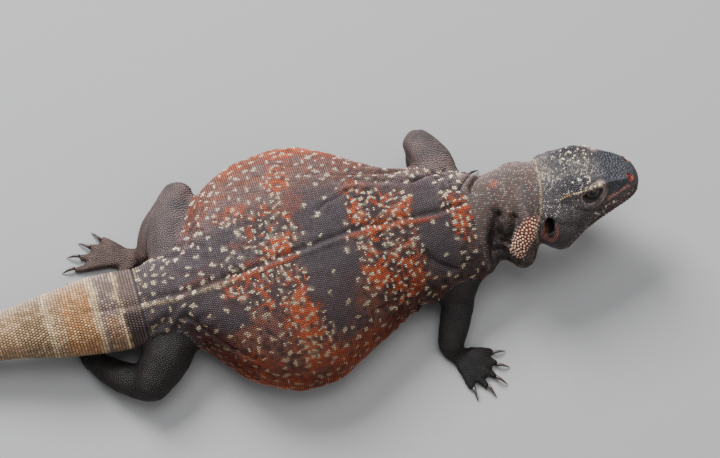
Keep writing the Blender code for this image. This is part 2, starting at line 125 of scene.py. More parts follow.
def meshFrom(bm, name):
    mesh = bpy.data.meshes.new(name)
    bm.to_mesh(mesh)
    bm.free()
    return mesh


def smoothMesh(bm, name):
    # for a piece modelled in millimetres
    bmesh.ops.scale(bm, verts=bm.verts, vec=(mm, mm, mm))
    mesh = meshFrom(bm, name)
    mesh.shade_smooth()
    return mesh


def turnsOf(count):
    # the cosine and sine of equal turns round a circle
    angles = 2 * math.pi * np.arange(count) / count
    return np.stack([np.cos(angles), np.sin(angles)], axis=1)


def inScene(name, data):
    made = bpy.data.objects.new(name, data)
    bpy.context.scene.collection.objects.link(made)
    return made


def newPiece(name, mesh, material, slot, *replaced):
    piece = inScene(name, mesh)
    mesh.materials.clear()
    mesh.materials.append(material)
    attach(piece, "root")
    if replaced:
        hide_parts(*replaced)
    return piece


def treeOf(mesh):
    mesh.calc_loop_triangles()
    corners = [tuple(t.vertices) for t in mesh.loop_triangles]
    return BVHTree.FromPolygons([v.co / mm for v in mesh.vertices], corners)


# the flesh: every soft node, swollen until it meets its neighbours, made into one skin

fleshBody = {
    "swell": 0.3,  # how far each node grows to close the gap to the next
    "eyeSwell": 0.7,
    "voxel": 0.9,
    "smoothTimes": 7,
    "blendReach": 4.2,  # how near a limb and the trunk are where they run into each other
    "blendTimes": 22,
    "headTimes": 3,
    "footTimes": 2,
    "coatDepth": 0.42,  # how far the skin lies under the tips of the scales
    "headDepth": 0.22,
    "kept": 0.8,  # share of the skin's faces that stay, since the scales hide what goes
}

head = {
    "base": Vector((92.0, -1.6, 31.0)),
    "yaw": math.radians(-7.0),
    "pitch": math.radians(7.0),
    "roll": math.radians(-22.0),
    "eye": Vector((22.0, 7.3, 4.9)),
    "eyeRadius": 3.8,
    "ear": Vector((4.4, 16.6, -0.5)),
    "nostril": Vector((37.0, 4.0, 3.2)),
    "mouth": (
        (2.0, -17.0), (6.0, -13.6), (9.0, -10.6), (12.5, -8.0), (17.0, -6.2),
        (23.0, -5.1), (30.0, -4.0), (36.0, -2.9), (44.0, -2.2),
    ),
}


def headTurned(share):
    # the head's turn, or the part of it that the neck has reached
    turn = Euler((0.0, -head["pitch"] * share, head["yaw"] * share)).to_matrix()
    return np.array(turn @ Euler((head["roll"] * share, 0, 0)).to_matrix())


headTurn = headTurned(1.0)
headBase = np.array(head["base"])


def toHead(points):
    return (points - headBase) @ headTurn


def fromHead(points):
    return points @ headTurn.T + headBase


def placeOnHead(local):
    # one place in the head's frame, as a place on the model
    return Vector(fromHead(np.array(local)[None])[0])


def sided(name, side):
    # the middle of one eye, ear or nostril, in the head's frame
    return np.array(head[name]) * (1, side, 1)


def mirroredOnHead(local):
    return np.stack([local[:, 0], np.abs(local[:, 1]), local[:, 2]], axis=1)


def swollenNode(bm, name, swell):
    # adds a copy of one node to bm, moved out along its normals
    part = bmesh.new()
    part.from_mesh(nodes[name].data)
    bmesh.ops.remove_doubles(part, verts=part.verts, dist=0.00001)
    part.normal_update()
    for vert in part.verts:
        vert.co += vert.normal * swell * mm
    mesh = meshFrom(part, "swollen")
    bm.from_mesh(mesh)
    bpy.data.meshes.remove(mesh)


def labelTree():
    # the nearest node to any place, as a tree of all their faces
    points, corners, owner = [], [], []
    for number, name in enumerate(fleshNodes):
        mesh = nodes[name].data
        mesh.calc_loop_triangles()
        corners.extend(tuple(len(points) + i for i in t.vertices) for t in mesh.loop_triangles)
        owner.extend([number] * len(mesh.loop_triangles))
        points.extend(v.co / mm for v in mesh.vertices)
    return BVHTree.FromPolygons(points, corners), np.array(owner)


def distanceTo(names, points, reach):
    bm = bmesh.new()
    for name in names:
        bm.from_mesh(nodes[name].data)
    tree = BVHTree.FromBMesh(bm)
    bm.free()
    found = np.full(len(points), reach * 2.0)
    for i, point in enumerate(points * mm):
        distance = tree.find_nearest(point, reach * mm)[3]
        if distance is not None:
            found[i] = distance / mm
    return found


def smoothed(bm, chosen, times):
    verts = [bm.verts[i] for i in np.nonzero(chosen)[0]]
    for _ in range(times):
        bmesh.ops.smooth_vert(bm, verts=verts, factor=0.5, use_axis_x=True, use_axis_y=True, use_axis_z=True)


def buildFlesh():
    bm = bmesh.new()
    for name in fleshNodes:
        swollenNode(bm, name, fleshBody["swell"])
    for name in ("eye_left", "eye_right"):
        swollenNode(bm, name, fleshBody["eyeSwell"])
    solid = inScene("flesh", meshFrom(bm, "skin"))
    remesh = solid.modifiers.new("remesh", "REMESH")
    remesh.mode = "VOXEL"
    remesh.voxel_size = fleshBody["voxel"] * mm
    remesh.use_smooth_shade = True
    made = bpy.data.meshes.new_from_object(solid.evaluated_get(bpy.context.evaluated_depsgraph_get()))
    bpy.data.objects.remove(solid)
    return made


def keepLargest(bm):
    bm.faces.ensure_lookup_table()
    seen = np.zeros(len(bm.faces), bool)
    shells = []
    for first in bm.faces:
        if seen[first.index]:
            continue
        seen[first.index] = True
        shell, queue = [], [first]
        while queue:
            face = queue.pop()
            shell.append(face)
            for edge in face.edges:
                for near in edge.link_faces:
                    if not seen[near.index]:
                        seen[near.index] = True
                        queue.append(near)
        shells.append(shell)
    shells.sort(key=len)
    for shell in shells[:-1]:
        bmesh.ops.delete(bm, geom=shell, context="FACES")


print("stage: flesh")
skinMesh = buildFlesh()
nodeTree, nodeOwner = labelTree()


# on either side of the middle, and the place along the head that the neck's skin reaches there
neckEdge = ((0.0, 5.0), (7.4, 4.8), (12.0, 3.9), (15.9, 2.9), (17.6, 2.2), (19.5, 0.0))


def neckReach(local):
    # how far the neck's loose skin is drawn over the skull
    return np.interp(np.abs(local[:, 1]), *zip(*neckEdge))


def labelsAt(points):
    # the number of the nearest flesh node
    found = np.array([nodeOwner[nodeTree.find_nearest(Vector(point))[2]] for point in points])
    local = toHead(points)
    edge = neckReach(local) * ease(-3, 3, local[:, 2])
    found[isOneOf(found, headNodes) & (local[:, 0] < edge)] = fleshNodes.index("neck")
    return found


def isOneOf(labels, names):
    return np.isin(labels, [fleshNodes.index(name) for name in names])


bm = bmesh.new()
bm.from_mesh(skinMesh)
keepLargest(bm)
bm.verts.ensure_lookup_table()
points = np.array([v.co for v in bm.verts]) / mm
labels = labelsAt(points)
onHead = isOneOf(labels, headNodes)
onFoot = isOneOf(labels, footNodes)
reach = fleshBody["blendReach"]
junction = np.logical_and(*(
    distanceTo(names, points, reach) < reach for names in (limbNodes, ("torso", "tail_1", "neck"))))
for chosen, times in (
    (~onHead & ~onFoot, "smoothTimes"), (junction & ~onFoot, "blendTimes"),
    (onHead, "headTimes"), (onFoot, "footTimes"),
):
    smoothed(bm, chosen, fleshBody[times])
fine = onHead | isOneOf(labels, ("neck",))
fineEdges = [e for e in bm.edges if fine[e.verts[0].index] and fine[e.verts[1].index]]
bmesh.ops.subdivide_edges(bm, edges=fineEdges, cuts=1, use_grid_fill=True, smooth=0.6)
bmesh.ops.triangulate(bm, faces=[f for f in bm.faces if len(f.verts) > 4])
bm.to_mesh(skinMesh)
bm.free()
print("skin", len(skinMesh.vertices), "vertices")


# sculpting: the forms that the solids leave out, pushed in or out of the skin

sculptHead = {
    "mouthDepth": 0.75,
    "mouthWidth": 0.42,
    "lipHeight": 0.35,
    "lidReach": 4.40,  # of the outer side of the lids from the middle of the eye
    "opening": (3.95, 2.60),  # half sizes of the gap between the lids
    "openingDrop": 0.80,  # and how far its middle lies under the middle of the eye
    "foldStep": 0.42,  # from one fold of the lids to the next, as a share of the opening
    "foldHeight": 0.16,
    "lidLift": 4.75,  # of the scales on the lids, and of the rim, from the middle of the eye
    "rimLift": 4.52,
}
eyeAxis = {  # the way each eye looks, in the head's frame
    side: Vector((0.16, 0.96 * side, 0.20)).normalized() for side in bothSides
}
headFolds = (  # width, height and a line of places on either side, in the head's frame
    (1.15, 0.85, ((9.0, 12.9, 7.2), (12.1, 12.2, 7.9), (15.9, 11.5, 8.3), (19.9, 10.8, 8.6), (23.0, 10.1, 8.6),
                  (26.0, 8.9, 7.7), (28.8, 7.8, 6.9), (33.5, 6.4, 5.5), (36.5, 5.2, 4.2))),
    (0.60, -0.55, ((16.5, 12.4, 6.7), (20.0, 11.7, 7.4), (23.5, 11.2, 7.2), (26.8, 9.8, 5.9), (29.5, 8.9, 4.6))),
    (0.75, -0.75, ((11.5, 13.0, 6.6), (15.2, 14.2, 3.6), (20.4, 14.6, 0.0), (24.4, 13.2, -1.7), (28.5, 11.3, -1.9))),
    (0.90, 0.40, ((14.5, 13.7, 5.6), (18.5, 14.0, 2.4), (24.0, 12.4, 0.4), (28.0, 10.6, 0.2))),
    (0.95, 1.05, ((3.3, 0.0, 12.0), (3.2, 4.0, 11.9), (3.2, 7.4, 11.4), (2.3, 12.0, 9.4), (1.2, 15.8, 6.8),
                  (0.7, 17.4, 3.6))),
    (0.60, -1.30, ((5.0, 0.0, 12.0), (4.9, 4.0, 11.9), (4.8, 7.4, 11.4), (3.8, 12.0, 9.2), (2.8, 15.9, 6.4),
                   (2.3, 17.6, 3.4))),
    (1.10, -0.50, ((7.0, 17.5, 1.5), (12.0, 17.4, -2.5), (15.0, 15.8, -5.0))),
)


def eyeFrame(side):
    # rows: forward along the gap between the lids, up, and out of the head
    out = eyeAxis[side]
    forward = Vector((1.0, 0.0, 0.14))
    forward = (forward - out * forward.dot(out)).normalized()
    up = out.cross(forward) if side < 0 else forward.cross(out)
    up = -up if up.z < 0 else up
    return np.array([forward, up, out])


def eyeSpread(local, side):
    # places in the eye's own frame, and how far out from the middle of the gap, 1 at its edge
    at = (local - sided("eye", side)) @ eyeFrame(side).T
    half = sculptHead["opening"]
    return at, np.hypot(at[:, 0] / half[0], (at[:, 1] + sculptHead["openingDrop"]) / half[1])


def lidWave(spread):
    return np.cos((spread - 1.25) * 2 * math.pi / sculptHead["foldStep"])


def sculptEyes(local):
    for side in bothSides:
        at, spread = eyeSpread(local, side)
        far = np.linalg.norm(at, axis=1)
        close = (far < 6.2) & (at[:, 2] > -0.2) & (spread < 2.6)
        at, spread, far = at[close], spread[close], far[close]
        folds = sculptHead["foldHeight"] * lidWave(spread) * ease(0.9, -0.6, at[:, 1]) * ease(2.3, 1.7, spread)
        lid = sculptHead["lidReach"] + folds + 0.25 * ease(1.0, 1.3, spread)
        lid = np.clip(far, lid, lid + 0.5 + 3.0 * ease(1.3, 2.5, spread))
        reach = blend(head["eyeRadius"] - 0.9, lid, ease(0.84, 1.0, spread))
        local[close] = sided("eye", side) + (at / far[:, None] * reach[:, None]) @ eyeFrame(side)
    return local


def sculptMouth(local, outward):
    off = local[:, 2] - curve(head["mouth"], local[:, 0])
    groove = hump(off, 0, sculptHead["mouthWidth"]) * sculptHead["mouthDepth"]
    lips = hump(np.abs(off), 1.3, 0.8) * sculptHead["lipHeight"]
    return local + outward * ((lips - groove) * ease(4.0, 8.0, local[:, 0]))[:, None]


openings = {
    "earHalf": (2.5, 4.0),
    "earRim": 0.40,
    "earHind": 0.6,  # height of the hind part of that rim, as a share of the front
    "nostrilRim": 0.30,
    "nostrilDepth": 1.5,
}


def sculptOpenings(local, outward):
    # raised rims round the ears, and the nostrils sunk within theirs
    for side in bothSides:
        near = local - sided("ear", side)
        ring = np.hypot(near[:, 0] / openings["earHalf"][0], near[:, 2] / openings["earHalf"][1])
        outer = (near[:, 1] * side > -4.5) & (ring < 2.2)
        rim = hump(ring, 1.22, 0.20) * openings["earRim"] * np.where(near[:, 0] > 0, 1.0, openings["earHind"])
        local = local + outward * (rim * outer)[:, None]
        far = np.linalg.norm(local - sided("nostril", side), axis=1)
        rise = openings["nostrilRim"] * hump(far, 1.8, 0.6) - openings["nostrilDepth"] * hump(far, 0, 0.95)
        local = local + outward * rise[:, None]
    return local


neckStart = np.array((68.0, 0.0, 19.5))  # where the neck leaves the trunk


def neckShare(points):
    # 0 at the trunk, 1 at the skull, measured along the neck
    axis = headBase - neckStart
    return ((points - neckStart) @ axis) / (axis @ axis)


bodyFolds = (  # width, height and a line of places
    (2.4, -3.1, ((75.3, -8.9, 37.1), (74.3, -11.8, 35.9), (73.5, -16.3, 33.3), (73.4, -20.0, 29.8),
                 (74.5, -22.6, 25.5))),
    (3.0, -1.8, ((74.0, -16.3, 33.3), (74.2, -20.0, 29.8), (75.0, -23.0, 25.0))),
    (1.2, 0.9, ((73.6, -7.6, 37.6), (72.2, -11.8, 35.9), (71.3, -16.0, 33.0))),
    (1.7, -2.0, ((81.0, -12.6, 41.0), (80.3, -14.3, 40.0), (78.7, -17.5, 36.7), (76.8, -19.5, 32.4))),
    (1.0, 0.8, ((79.6, -10.0, 41.0), (78.4, -13.6, 39.2), (77.0, -16.6, 36.2))),
    (0.9, -1.6, ((75.5, 11.5, 31.0), (72.9, 8.3, 33.8), (71.0, 6.2, 35.0), (70.3, 3.6, 35.6))),
    (0.9, -1.5, ((73.5, 14.0, 29.5), (71.0, 11.1, 31.9), (68.6, 8.5, 33.9), (66.8, 6.4, 34.8))),
    (1.1, 0.9, ((74.2, 12.6, 30.4), (71.8, 9.7, 32.9), (69.6, 7.2, 34.6))),
    (1.2, -1.0, ((84.0, 10.5, 34.5), (82.0, 13.0, 31.0), (80.0, 13.5, 26.0))),
    (0.7, -0.6, ((13.5, 11.4, 38.6), (16.5, 13.4, 38.0), (20.5, 14.3, 37.5), (24.5, 16.0, 36.6), (29.5, 17.0, 35.6))),
    (1.2, 0.35, ((13.0, 14.2, 37.9), (20.5, 16.6, 37.0), (30.0, 19.4, 34.8))),
    (1.0, -1.2, ((22.0, 25.5, 33.6), (27.1, 24.3, 33.3), (37.3, 22.9, 30.7), (47.3, 22.1, 27.6))),
    (1.0, -1.3, ((51.0, 15.0, 32.4), (53.2, 15.9, 31.6), (60.8, 17.3, 28.8), (65.0, 17.6, 27.4))),
    (1.1, -1.3, ((47.5, -14.5, 34.0), (50.0, -18.5, 31.6), (57.0, -21.5, 27.0))),
    (1.0, -0.9, ((24.0, -31.0, 31.0), (32.0, -30.0, 29.5), (40.0, -27.0, 28.0))),
    (1.0, -0.9, ((-44.0, -13.0, 29.5), (-38.0, -20.0, 27.5), (-31.0, -27.0, 26.0), (-24.0, -33.0, 26.0))),
    (1.0, -0.8, ((-42.0, 13.0, 29.5), (-36.0, 19.0, 29.5), (-28.0, 26.0, 29.5))),
)


def lineDistance(points, line):
    # how far each place is from a line through a few others
    nearest = np.full(len(points), 1e9)
    line = np.array(line, float)
    for start, end in zip(line, line[1:]):
        span = end - start
        share = np.clip((points - start) @ span / (span @ span), 0, 1)
        nearest = np.minimum(nearest, np.linalg.norm(points - start - share[:, None] * span, axis=1))
    return nearest


def foldRise(points, folds):
    rise = np.zeros(len(points))
    for width, height, line in folds:
        box = np.array(line)
        near = ((points > box.min(axis=0) - width * 3) & (points < box.max(axis=0) + width * 3)).all(axis=1)
        rise[near] += height * hump(lineDistance(points[near], line), 0, width)
    return rise


def sculptFolds(points, outward):
    rise = foldRise(points, bodyFolds) + foldRise(mirroredOnHead(toHead(points)), headFolds)
    return points + outward * rise[:, None]


midline = (
    (-246.0, 29.5), (-215.0, 21.2), (-165.0, 11.2), (-128.0, 5.7), (-98.0, 2.3), (-72.0, -0.9),
    (-59.0, -2.1), (-45.0, -5.0), (-30.0, -5.3), (-17.0, -5.0), (-2.0, -3.8), (10.0, -2.5),
    (22.0, -1.2), (41.0, -1.0), (56.0, -1.8), (68.0, -1.4),
)
wrinkles = (  # where the flank's loose skin lies in folds: x, y, reach x, reach y, turn, height
    (44.0, 22.0, 22.0, 8.0, 78.0, 0.55),
    (-46.0, 16.0, 12.0, 9.0, 60.0, 0.45),
    (40.0, -28.0, 12.0, 9.0, 35.0, 0.60),
    (-50.0, -16.0, 12.0, 8.0, 110.0, 0.45),
    (14.0, 44.0, 26.0, 7.0, 88.0, 0.35),
    (10.0, -48.0, 30.0, 7.0, 90.0, 0.35),
)


trunkForms = {
    "furrow": 0.75,  # along the back beside the midline
    "ridge": 0.45,
    "tailGroove": 0.9,
    "wrinkleStep": 5.2,
    "uneven": 0.35,
}


def sculptTrunk(points, outward):
    # a furrow along the back, a groove along the tail, and folds of loose skin
    x, y, _ = points.T
    across = y - curve(midline, x)
    top = outward[:, 2] > 0.3
    valley = trunkForms["ridge"] * hump(across, -0.6, 1.0) - trunkForms["furrow"] * hump(across, 1.6, 1.3)
    rise = valley * ease(-64.0, -50.0, x) * ease(72.0, 60.0, x) * top
    rise -= trunkForms["tailGroove"] * hump(across, 0, 1.2) * ease(-100.0, -62.0, x) * ease(-48.0, -58.0, x) * top
    for middleX, middleY, reachX, reachY, turn, height in wrinkles:
        angle = math.radians(turn)
        wave = x * math.cos(angle) + y * math.sin(angle) + noise(points, 9.0, 5) * 2.2
        wave = np.sin(wave * 2 * math.pi / trunkForms["wrinkleStep"])
        rise += height * hump(x, middleX, reachX) * hump(y, middleY, reachY) * wave
    rise += noise(points, 14.0, 8) * trunkForms["uneven"] * ease(5.0, 14.0, np.abs(across))
    return points + outward * rise[:, None]


limbForms = ((8.0, 21, 0.5), (3.0, 22, 0.18))  # muscle and creases: size, seed and height


def sculptLimbs(points, outward):
    rise = sum(noise(points, size, seed) * height for size, seed, height in limbForms)
    return points + outward * rise[:, None]


print("stage: sculpting")
points, outward = vertsOf(skinMesh), eachVertex(skinMesh, "normal")
skinLabels = labelsAt(points)
onHead, onTrunk, onLimb, onFoot = (
    isOneOf(skinLabels, names) for names in (headNodes, trunkNodes, limbNodes, footNodes))
depth = np.where(onHead, fleshBody["headDepth"], fleshBody["coatDepth"]) + fleshBody["swell"] * 0.6
depth = np.where(onFoot, fleshBody["coatDepth"], depth)
points -= outward * depth[:, None]
points[onTrunk] = sculptTrunk(points, outward)[onTrunk]
points[onLimb] = sculptLimbs(points, outward)[onLimb]
fleshTree = treeOf(skinMesh)
bodyFolds = [
    (width, height, [tuple(fleshTree.find_nearest(Vector(place))[0]) for place in line])
    for width, height, line in bodyFolds
]
neckFolds, flankFolds = bodyFolds[:9], bodyFolds[9:]
points = sculptFolds(points, outward)
shaped, localOut = toHead(points), outward @ headTurn
for sculpt in (sculptMouth, sculptOpenings):
    shaped = sculpt(shaped, localOut)
points[onHead] = fromHead(sculptEyes(shaped))[onHead]
points[:, 2] = np.maximum(points[:, 2], 0.12)
skinMesh.vertices.foreach_set("co", (points * mm).ravel())
skinMesh.update()
skinMesh.shade_smooth()
skinTree = treeOf(skinMesh)


# where the scales root: ordered rows round the trunk and neck, and even scatter elsewhere

rowSizes = {
    "torso": {"along": 0.80, "around": 0.83, "height": 0.31, "rays": 220, "reach": 75.0},
    "tail": {"along": 1.14, "around": 1.02, "height": 0.34, "rays": 72, "reach": 75.0},
    "neck": {"along": 0.72, "around": 0.73, "height": 0.21, "rays": 170, "reach": 42.0},
    "fewestHits": 13,
    "extraRows": (1.22, 2.1),  # how much longer the slope is than its run before rows are doubled, and again
    "first": -245.0,  # x of the first row of the tail, of the root of the tail and of the last row
    "tailRoot": -60.0,
    "last": 68.2,
    "back": 0.36,  # share of the way round on either side that belongs to the back
}


def spineOf(names):
    # the middle of each node's section, read from its own corners
    rows = {}
    for name in names:
        for x, y, z in vertsOf(nodes[name].data):
            rows.setdefault(round(x, 1), []).append((y, z))
    places = sorted(x for x, ring in rows.items() if len(ring) > 8)
    middles = [(np.min(rows[x], axis=0) + np.max(rows[x], axis=0)) / 2 for x in places]
    return np.array(places), np.array(middles)


def ringHits(centre, sideAxis, upAxis, kind):
    # where rays round a centre meet the skin, and how steeply the skin climbs away from the ring there
    hits, slopes = [], []
    axis = Vector(np.cross(sideAxis, upAxis))
    for angle in np.linspace(0, 2 * math.pi, rowSizes[kind]["rays"], endpoint=False):
        way = sideAxis * math.cos(angle) + upAxis * math.sin(angle)
        place, normal, _, _ = skinTree.ray_cast(Vector(centre), Vector(way), rowSizes[kind]["reach"])
        if place is not None:
            hits.append(np.array(place))
            slopes.append(1 / math.sqrt(max(1 - normal.dot(axis) ** 2, 0.04)))
    if len(hits) >= rowSizes["fewestHits"]:
        slopes = np.convolve(np.concatenate([slopes[-4:], slopes, slopes[:4]]), np.ones(9) / 9, mode="valid")
    return np.array(hits), np.array(slopes)


def walkedAlong(line):
    return np.concatenate([[0.0], np.cumsum(np.linalg.norm(np.diff(line, axis=0), axis=1))])


def alongLine(steps, walked, line):
    return np.stack([np.interp(steps, walked, line[:, axis]) for axis in range(3)], axis=-1)


def ringRoots(hits, slopes, top, spacing, shift):
    # places at equal steps to each side of the top, so that rows line up along the back
    start = int(np.argmin(np.linalg.norm(hits - top, axis=1)))
    loop = np.roll(hits, -start, axis=0)
    loop = np.vstack([loop, loop[:1]])
    climb = np.append(np.roll(slopes, -start), slopes[start])
    walked = walkedAlong(loop)
    half = walked[-1] / 2
    count = int((half - spacing * 0.45) / spacing)
    steps = (np.arange(-count, count + 1) + shift) * spacing
    wrapped = np.where(steps < 0, walked[-1] + steps, steps)
    return alongLine(wrapped, walked, loop), steps / half, np.interp(wrapped, walked, climb)


def rowLevel(row):
    # every fourth row is whole, and those between appear only on slopes; with each row's shift sideways
    level = (0, 2, 1, 2)[row % 4]
    return level, 0.5 * (row // 4 % 2) + 0.25 * (level > 0)


class Coat:
    # the scales of the whole body, gathered before any is made
    def __init__(self):
        self.rows = []

    def add(self, roots, group, u, v, height, lay, reach):
        count = len(roots)
        row = {"root": np.asarray(roots, float).reshape(-1, 3), "group": np.full(count, group)}
        row["lay"] = np.broadcast_to(np.asarray(lay, float), (count, 3))
        for name, value in (("u", u), ("v", v), ("height", height), ("reach", reach)):
            row[name] = np.broadcast_to(np.asarray(value, float), (count,))
        self.rows.append(row)

    def table(self):
        return {name: np.concatenate([row[name] for row in self.rows]) for name in self.rows[0]}


coat = Coat()


def coverTrunk():
    places, middles = spineOf(trunkNodes)
    x, row = rowSizes["first"], 0
    while x < rowSizes["last"]:
        kind = "tail" if x < rowSizes["tailRoot"] else "torso"
        shrink = float(ease(-262.0, -190.0, x)) * 0.45 + 0.55 if kind == "tail" else 1.0
        along, around, height = (
            blend(rowSizes["tail"][size], rowSizes["torso"][size], float(ease(-66.0, -52.0, x))) * shrink
            for size in ("along", "around", "height"))
        level, shift = rowLevel(row)
        if level == 0 or kind == "torso":
            addTrunkRow(x, level, kind, around, height, shift, [np.interp(x, places, middle) for middle in middles.T])
        x += along / 4
        row += 1


def addTrunkRow(x, level, kind, around, height, shift, middle):
    centre = np.array((x, *middle))
    hits, slopes = ringHits(centre, *np.eye(3)[1:], kind)
    if len(hits) < rowSizes["fewestHits"]:
        return
    top = np.array((x, float(curve(midline, np.array([x]))[0]), hits[:, 2].max() + 1.0))
    roots, share, climb = ringRoots(hits, slopes, top, around, shift)
    if kind == "tail":
        coat.add(roots, "tail", (x + 250) / 200, share * 0.48 + 0.5, height, (-1, 0, 0), around)
        return
    if level:
        keep = climb > rowSizes["extraRows"][level - 1]
        roots, share = roots[keep], share[keep]
    edge = rowSizes["back"]
    back = np.abs(share) <= edge
    down = (np.abs(share) - edge) / (1 - edge) * 0.96 + 0.02
    for chosen, name, v in (
        (back, "back", share / edge * 0.48 + 0.5),
        (~back & (share > 0), "flank_left", down), (~back & (share < 0), "flank_right", down),
    ):
        if chosen.any():
            coat.add(roots[chosen], name, (x + 62) / 134, v[chosen], height, (-1, 0, 0), around)


tubercles = {  # the patch of pale cones on the fold of the throat
    "line": ((86.6, -17.2, 41.2), (83.5, -19.5, 37.5), (80.0, -22.5, 32.5)),
    "width": 4.2,
    "spacing": 1.18,
    "height": 0.55,
}


def onTubercles(points):
    return lineDistance(points, tubercles["line"]) < tubercles["width"]


def coverNeck():
    sizes = rowSizes["neck"]
    length = np.linalg.norm(headBase - neckStart)
    for row in range(int((length + 6.5) / sizes["along"] * 4)):
        share = (row * sizes["along"] / 4 + 0.25) / length
        level, shift = rowLevel(row)
        centre = neckStart + (headBase - neckStart) * share
        centre[2] = blend(neckStart[2], headBase[2], float(ease(0, 1, share)))
        turn = headTurned(min(share, 1.0))
        hits, slopes = ringHits(centre, turn[:, 1], turn[:, 2], "neck")
        if len(hits) < rowSizes["fewestHits"]:
            continue
        roots, along, climb = ringRoots(hits, slopes, centre + turn[:, 2] * 20, sizes["around"], shift)
        chosen = ~onTubercles(roots)
        if level:
            chosen &= climb > rowSizes["extraRows"][level - 1]
        coat.add(roots[chosen], "neck", 0.02 + 0.94 * share / 1.3, along[chosen] * 0.48 + 0.5,
                 sizes["height"], -turn[:, 0], sizes["around"])


print("stage: rows of scales")
coverTrunk()
coverNeck()


scatterSizes = {
    "tries": 7.0,  # for each place that a scale of the wanted spacing would fill
    "cell": 2.4,
    "limbs": {"spacing": 0.80, "height": 0.15},
    "feet": {"spacing": 0.72, "height": 0.14},
    "snout": 1.06,
    "crown": 0.74,
    "brow": 0.80,
    "temple": 0.58,
    "cheek": 0.62,
    "chin": 0.80,
    "lids": 0.43,
    "nostril": (2.8, 0.62),  # how far out, and the most that the spacing is there
    "ear": (5.2, 0.60),
    "eye": (5.8, 0.43),
}
headRows = {  # size and height of the scales in each row, and how far the others keep from it
    "lips": (1.15, 0.32, 0.75),
    "lids": (0.52, 0.16, 0.40),
    "brows": (0.98, 0.30, 0.72),
}
browRow = {"step": 0.90, "first": 1.5, "last": 1.0}  # the last is counted from the end of the line
lipRows = {"first": 9.0, "last": 39.6, "places": ((0.80, 1.25), (-0.90, 1.35)), "closing": 0.45}
lidRings = {"count": 6, "first": 1.14, "step": 0.165}  # as shares of the opening
browClear = 0.7


def surfaceAt(roots):
    found = [skinTree.find_nearest(Vector(root)) for root in roots]
    return np.array([place for place, _, _, _ in found]), np.array([normal for _, normal, _, _ in found])


def evenScatter(chosen, spacingOf, seed, crowd=0.82):
    # dart throwing over the faces between the chosen corners
    draw = np.random.default_rng(seed)
    skinMesh.calc_loop_triangles()
    corners = np.empty(len(skinMesh.loop_triangles) * 3, int)
    skinMesh.loop_triangles.foreach_get("vertices", corners)
    corners = corners.reshape(-1, 3)
    corners = corners[chosen[corners].all(axis=1)]
    a, b, c = vertsOf(skinMesh)[corners.T]
    area = np.linalg.norm(np.cross(b - a, c - a), axis=1) / 2
    wanted = area / spacingOf((a + b + c) / 3) ** 2 * scatterSizes["tries"]
    times = np.floor(wanted + draw.random(len(wanted))).astype(int)
    pick = np.repeat(np.arange(len(corners)), times)
    u, v = draw.random(len(pick)), draw.random(len(pick))
    over = u + v > 1
    u, v = np.where(over, 1 - u, u), np.where(over, 1 - v, v)
    tries = a[pick] + (b - a)[pick] * u[:, None] + (c - a)[pick] * v[:, None]
    tries = tries[draw.permutation(len(tries))]
    gaps = spacingOf(tries) * crowd
    cells = np.floor(tries / scatterSizes["cell"]).astype(int)
    steps = list(np.ndindex(3, 3, 3))
    grid, kept = {}, []
    for number, (point, gap, cell) in enumerate(zip(tries.tolist(), gaps.tolist(), cells.tolist())):
        near = (other for i, j, k in steps
                for other in grid.get((cell[0] + i - 1, cell[1] + j - 1, cell[2] + k - 1), ()))
        if all((point[0] - q[0]) ** 2 + (point[1] - q[1]) ** 2 + (point[2] - q[2]) ** 2 >= gap * gap for q in near):
            grid.setdefault(tuple(cell), []).append(point)
            kept.append(number)
    return tries[kept]


def relaxed(roots, spacing):
    # each scale is pushed away from its neighbours, twice
    for _ in range(2):
        tree, moved = kdTree(roots), roots.copy()
        for i, root in enumerate(roots):
            push = np.zeros(3)
            for place, j, distance in tree.find_n(root, 7):
                if j != i and distance < spacing[i] * 1.25:
                    push += (root - np.array(place)) / (distance + 0.01) * (spacing[i] * 1.25 - distance)
            moved[i] = np.array(skinTree.find_nearest(Vector(root + push * 0.22))[0])
        roots = moved
    return roots


def scattered(chosen, spacing, seed, crowd=0.82):
    roots = evenScatter(chosen, lambda places: np.full(len(places), spacing), seed, crowd)
    return relaxed(roots, np.full(len(roots), spacing))


def boxUnwrap(points, normals, tile, tiles, low, size):
    # six flat sheets a tile, one for each way that the surface can face
    widest = np.argmax(np.abs(normals), axis=1)
    facing = widest * 2 + (np.take_along_axis(normals, widest[:, None], axis=1)[:, 0] > 0)
    number = tile * 6 + facing
    side = int(math.ceil(math.sqrt(tiles * 6)))
    flat = np.empty((len(points), 2))
    for axis in range(3):
        flat[widest == axis] = np.delete((points - low) / size, axis, axis=1)[widest == axis]
    flat = 0.04 + 0.92 * np.clip(flat, 0, 1)
    return (number % side + flat[:, 0]) / side, (number // side + flat[:, 1]) / side


def headSpacing(points):
    local = toHead(points)
    x, y, z = local.T
    size = blend(scatterSizes["temple"], scatterSizes["crown"], ease(12, 17, x) * ease(3, 6, z))
    for name, share in (
        ("snout", ease(24, 28, x)), ("cheek", ease(8, 14, x) * ease(2, -1, z) * ease(30, 24, x)),
        ("brow", hump(x, 18.5, 5.0) * hump(np.abs(y), 7.0, 2.5) * ease(6, 8, z)), ("chin", ease(-6, -9, z)),
    ):
        size = blend(size, scatterSizes[name], share)
    size = size * (1 - 0.25 * hump(x, 40.0, 3.0))
    for name in ("nostril", "ear", "eye"):
        reach, most = scatterSizes[name]
        for side in bothSides:
            far = np.linalg.norm(local - sided(name, side), axis=1)
            size = np.where(far < reach, np.minimum(size, most), size)
    return size


